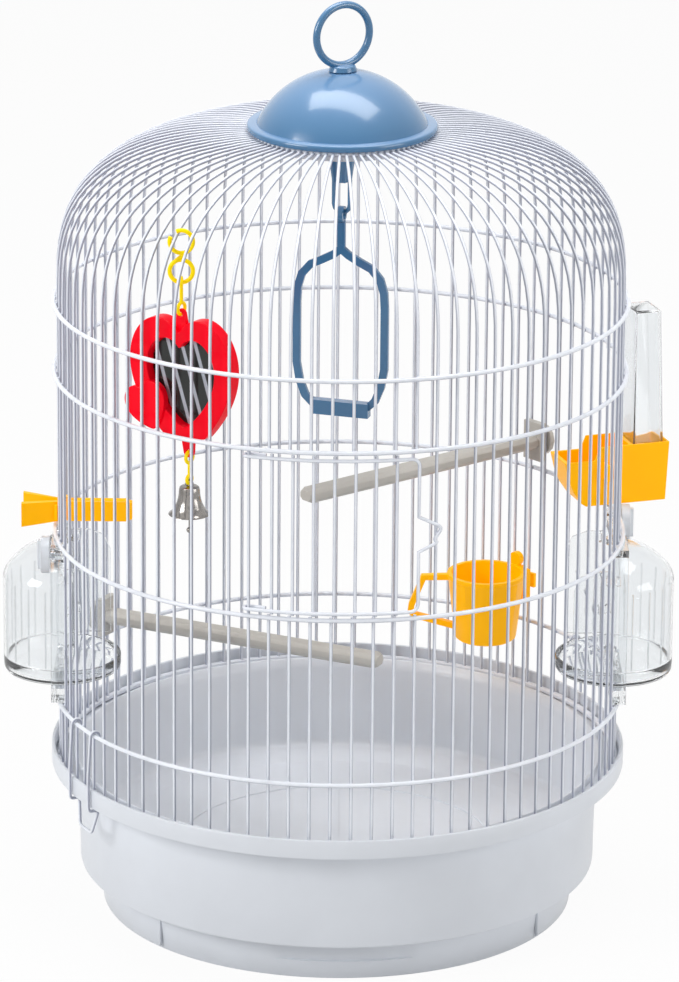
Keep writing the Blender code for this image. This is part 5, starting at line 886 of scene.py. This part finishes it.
# %% The heart's frame
heart_matrix = columns(face, back, Z)
heart_matrix.translation = hole
heart_matrix = heart_matrix @ Matrix.Rotation(-heart_roll, 4, "Y") @ Matrix.Translation((0, 0, -hole.z))
heart_width, heart_height, heart_blunt = 68 * mm, 75.1 * mm, 9 * mm
window_width, window_height, window_drop, ledge_width = 45 * mm, 49 * mm, 11.2 * mm, 1.8 * mm
heart_foot, heart_corner = heart_top - heart_height + heart_blunt, math.radians(50)
count = 112
outer = [(x, max(z, heart_foot)) for x, z in heart(heart_width, heart_height, heart_top, count)]
inner = heart(window_width, window_height, heart_top - window_drop, count)
ledge = heart(window_width - 2 * ledge_width, window_height - 2 * ledge_width,
              heart_top - window_drop - ledge_width, count)
shell = bmesh.new()
rings = []
for outline, depth in ((outer, -4), (inner, -4), (inner, 3), (ledge, 3), (ledge, 4), (outer, 4)):
    rings.append([shell.verts.new((x, depth * mm, z)) for x, z in outline])
join_rings(shell, rings)
moved(shell, heart_matrix)
heart_piece = add("heart_shell", shell, "red_plastic", "heart", ["heart_frame"])
round_edges(heart_piece, 1.3 * mm, 4, heart_corner)
print("heart from", round(low_hole.z, 4), "to", round(heart_top, 4))

# %% [markdown]
# Two tabs carry the links, one above the heart and one below, and a second small heart sits on the
# frame's edge. Each tab is a plate with a hole, made as a ring of quads round the hole, because a bevel
# runs cleanly round quads and not round the slivers that a cut would leave.

# %% Tabs and the small heart
def tab(root_z, centre_z, direction):
    """A plate round a hole, wider at its root, which is below or above the hole by the direction."""
    bm = bmesh.new()
    rows = [[], [], [], []]
    half_wide, half_high, half_root, half_thick, hole_r = 3.1 * mm, 3.0 * mm, 4.7 * mm, 1.2 * mm, 1.6 * mm
    for a in even_angles(40):
        c, s = math.cos(a), math.sin(a)
        x, z = half_wide * c, centre_z + half_high * s
        if direction * s < -0.1:
            x, z = half_root * c, root_z
        rim = (hole_r * c, centre_z + hole_r * s)
        sides = ((x, z, -half_thick), (*rim, -half_thick), (*rim, half_thick), (x, z, half_thick))
        for row, (across, up, depth) in zip(rows, sides):
            row.append(bm.verts.new((across, depth, up)))
    join_rings(bm, rows)
    return bm


for name, root, centre, direction in (("upper_tab", heart_top - 9 * mm, hole.z, 1),
                                      ("lower_tab", heart_foot + 3.5 * mm, hole.z - heart_drop, -1)):
    add(f"heart_{name}", moved(tab(root, centre, direction), heart_matrix), "red_plastic", "heart")
charm_width, charm_height, charm_side, charm_drop = 27.5 * mm, 26 * mm, 23.5 * mm, 50.9 * mm
charm = extrude(heart(charm_width, charm_height, charm_height / 2, 72), -5.4 * mm, -1.2 * mm)
charm_place = Matrix.Translation((-charm_side, 0, heart_top - charm_drop))
leaning = charm_place @ Matrix.Rotation(math.radians(-20), 4, "Y")
charm_piece = add("heart_charm", moved(charm, heart_matrix @ leaning), "red_plastic", "heart")
round_edges(charm_piece, 1.2 * mm, 4, heart_corner)
print("small heart", round(charm_width, 4), "wide")

# %% The bell and its clapper
bell_axis = Matrix.Translation((low_hole.x, low_hole.y, bell_top))
flare = [(0, 0), (2.4, 0), (4.4, -0.25), (5.35, -0.9), (5.75, -2.2), (5.9, -4.8), (6.3, -7.4), (6.95, -9.6),
         (7.9, -11.8), (9.0, -13.6), (10.3, -15.2), (11.4, -16.0), (11.5, -16.2), (11.1, -16.2)]
lining = [(9.7, -15.6), (8.3, -13.7), (7.1, -11.8), (6.2, -9.6), (5.5, -7.4), (5.1, -4.8), (4.9, -2.2),
          (4.3, -1.1), (2.4, -0.8), (0, -0.8)]
shell = turn(in_metres(flare + lining), 72)
add("bell_shell", moved(shell, bell_axis), "polished_metal", "bell", ["bell"])
pin_r, pin_half, pin_drop, eye_play = 0.5 * mm, 5.2 * mm, 4.05 * mm, 0.1 * mm
clapper_eye_r, clapper_drop, ball_r = 1.4 * mm, 21.5 * mm, 1.65 * mm
eye = circle(bell_eye, bell_eye_r, face, Z, steps=28)
add("bell_eye", wires("bell_eye", [eye], bell_wire, closed=True, sides=3), "polished_metal", "bell")
pin_centre = Vector((low_hole.x, low_hole.y, bell_top - pin_drop))
pin = [pin_centre - face * pin_half, pin_centre + face * pin_half]
add("bell_pin", wires("bell_pin", [pin], pin_r), "polished_metal", "bell")
clapper_loop = pin_centre - Z * eye_play
loop = wires("clapper_loop", [circle(clapper_loop, clapper_eye_r, back, Z, steps=20)], pin_r, closed=True)
add("clapper_loop", loop, "polished_metal", "clapper", ["clapper"])
ball_centre = pin_centre - Z * clapper_drop
rod = [clapper_loop - Z * clapper_eye_r, ball_centre]
add("clapper_rod", wires("clapper_rod", [rod], pin_r), "polished_metal", "clapper")
ball = bmesh.new()
bmesh.ops.create_icosphere(ball, subdivisions=3, radius=ball_r, matrix=Matrix.Translation(ball_centre))
add("clapper_ball", ball, "polished_metal", "clapper")
print("bell top at", round(bell_top, 4))

# %% [markdown]
# Each swivel feeder is a half-round hood over a round dish, and both turn on one upright axis, so the
# feeder can be filled from outside. The hood's top is another superellipse, and thin upright ribs inside
# its wall draw lines of light and shade through the clear plastic.

# %% The feeders' hoods and dishes
feeder_axis_r, feeder_r, feeder_wall = 157 * mm, 33.3 * mm, 1.6 * mm
hood_low, hood_shoulder, hood_rise, hood_skin = 143.3 * mm, 190 * mm, 23 * mm, 1.9 * mm
hub_r, hood_squareness, hood_steps = 6.2 * mm, 1.6, 20
flute_count, flute_turn, flute_wire = 9, math.radians(19), 0.45 * mm
flute_low, flute_length, flute_r = 144 * mm, 45 * mm, feeder_r - feeder_wall - 0.2 * mm


def hood_profile():
    """Outer and inner line of a hood, as radius and height."""
    inside = feeder_r - feeder_wall
    outer, inner = [(feeder_r, hood_low)], [(inside, hood_low)]
    power = 2 / hood_squareness
    last = math.acos((hub_r / feeder_r) ** (1 / power))
    for i in range(hood_steps + 1):
        a = last * i / hood_steps
        c, s = math.cos(a) ** power, math.sin(a) ** power
        outer.append((feeder_r * c, hood_shoulder + hood_rise * s))
        inner.append((inside * c, hood_shoulder + (hood_rise - hood_skin) * s))
    return outer + inner[::-1]


dish_profile = in_metres([
    (0, 131), (2.8, 131), (2.8, 134), (30.6, 134), (32.2, 134.8), (33.1, 136.2), (33.3, 137.8), (33.3, 142.6),
    (33, 143), (32, 143), (31.7, 142.6), (31.7, 138.2), (31.2, 137), (29.8, 136.1), (0, 136)])
hub_profile = in_metres([
    (0, 209.7), (6.1, 209.7), (6.5, 210.1), (6.5, 212.5), (6.1, 212.95), (2.8, 213), (2.8, 216), (0, 216)])
for side, index in (("left", -21.5), ("right", 22.5)):
    placed = wall_matrix(index) @ Matrix.Translation((feeder_axis_r, 0, 0))
    body = f"{side}_feeder"
    ribs = []
    for turned in (flute_turn * (i - flute_count // 2) for i in range(flute_count)):
        foot = placed @ Vector((flute_r * math.cos(turned), flute_r * math.sin(turned), flute_low))
        ribs.append([foot, foot + Z * flute_length])
    add(f"{side}_hood_ribs", wires("ribs", ribs, flute_wire), "clear_plastic", body)
    hood = turn(hood_profile(), 48, -math.pi / 2, math.pi / 2)
    add(f"{body}_hood_shell", moved(hood, placed), "clear_plastic", body, [f"{body}_hood"])
    add(f"{body}_hub", moved(turn(hub_profile, 40), placed), "clear_plastic", body)
    dish = turn(dish_profile, 88)
    add(f"{body}_dish_shell", moved(dish, placed), "clear_plastic", body, [f"{body}_dish"])
print("ribs in each hood:", flute_count)

# %% [markdown]
# The picture was taken on a white table in soft light. A lamp on the left lights that side of the tray, a
# weaker one fills from the right, and a broad one overhead lights the tray's floor and makes the wide
# highlight on the cap. The world adds the rest. The table and the background are white to the eye, in
# reflections and through clear plastic. For all other light the table is plain grey and the background
# is a fifth as strong, so a white surround doesn't wash the object out.

# %% The floor
white = (1, 1, 1, 1)


def looked_at(nodes):
    """1 for rays of the camera, of reflections and through clear plastic, and 0 for rays that only light."""
    kinds = ("Camera", "Glossy", "Transmission")
    camera_ray, glossy_ray, clear_ray = (
        nodes.node("ShaderNodeLightPath", out=f"Is {kind} Ray") for kind in kinds)
    return maths(nodes, "MAXIMUM", maths(nodes, "MAXIMUM", camera_ray, glossy_ray), clear_ray)


def white_ground():
    """A pale table that keeps a twentieth of its shading, so that the cage's shadow shows."""
    finish = Finish("white_ground")
    finish.set(Base_Color=(0.7, 0.7, 0.7), Roughness=0.9)
    glow = finish.node("ShaderNodeEmission", None, {"Color": white, "Strength": 1.0})
    plain = Link(finish, finish.shader.outputs[0])
    white_share = 0.95
    whiten = looked_at(finish) * white_share
    surface = finish.node("ShaderNodeMixShader", None, {0: whiten, 1: plain, 2: glow})
    finish.feed(finish.tree.nodes["Material Output"].inputs["Surface"], surface)
    return finish.material


floor_mesh = bmesh.new()
bmesh.ops.create_grid(floor_mesh, x_segments=1, y_segments=1, size=6)
ground = bpy.data.meshes.new("ground")
floor_mesh.to_mesh(ground)
floor_mesh.free()
ground.materials.append(white_ground())
floor = bpy.data.objects.new("floor", ground)
bpy.context.scene.collection.objects.link(floor)
print("floor placed")


# %% Lamps and world
def lamp(name, place, aim, size, power, depth=None):
    """A soft lamp of a size in metres and a power in watts; it is square unless a depth is given."""
    data = bpy.data.lights.new(name, "AREA")
    data.shape = "RECTANGLE"
    data.size = size
    data.size_y = depth or size
    data.energy = power
    piece = bpy.data.objects.new(name, data)
    piece.location = place
    piece.rotation_euler = (Vector(aim) - Vector(place)).to_track_quat("-Z", "Y").to_euler()
    bpy.context.scene.collection.objects.link(piece)


lamp("key_lamp", (-2.2, -1.3, 1.4), (0, 0, 0.25), 1.2, 46)
lamp("fill_lamp", (2.1, -1.1, 0.9), (0, 0, 0.25), 1.3, 21)
lamp("top_lamp", (0.05, 0.15, 2.2), (0, 0, 0.3), 2.2, 36, 0.9)

world = bpy.context.scene.world or bpy.data.worlds.new("studio")
bpy.context.scene.world = world
world.use_nodes = True
world.node_tree.nodes.clear()
studio = Nodes(world.node_tree)
light_share = 0.20
strength = studio.node("ShaderNodeMapRange", None, {
    "Value": looked_at(studio), "To Min": light_share, "To Max": 1.0})
backdrop = studio.node("ShaderNodeBackground", None, {"Color": white, "Strength": strength})
world_output = world.node_tree.nodes.new("ShaderNodeOutputWorld")
studio.feed(world_output.inputs["Surface"], backdrop)
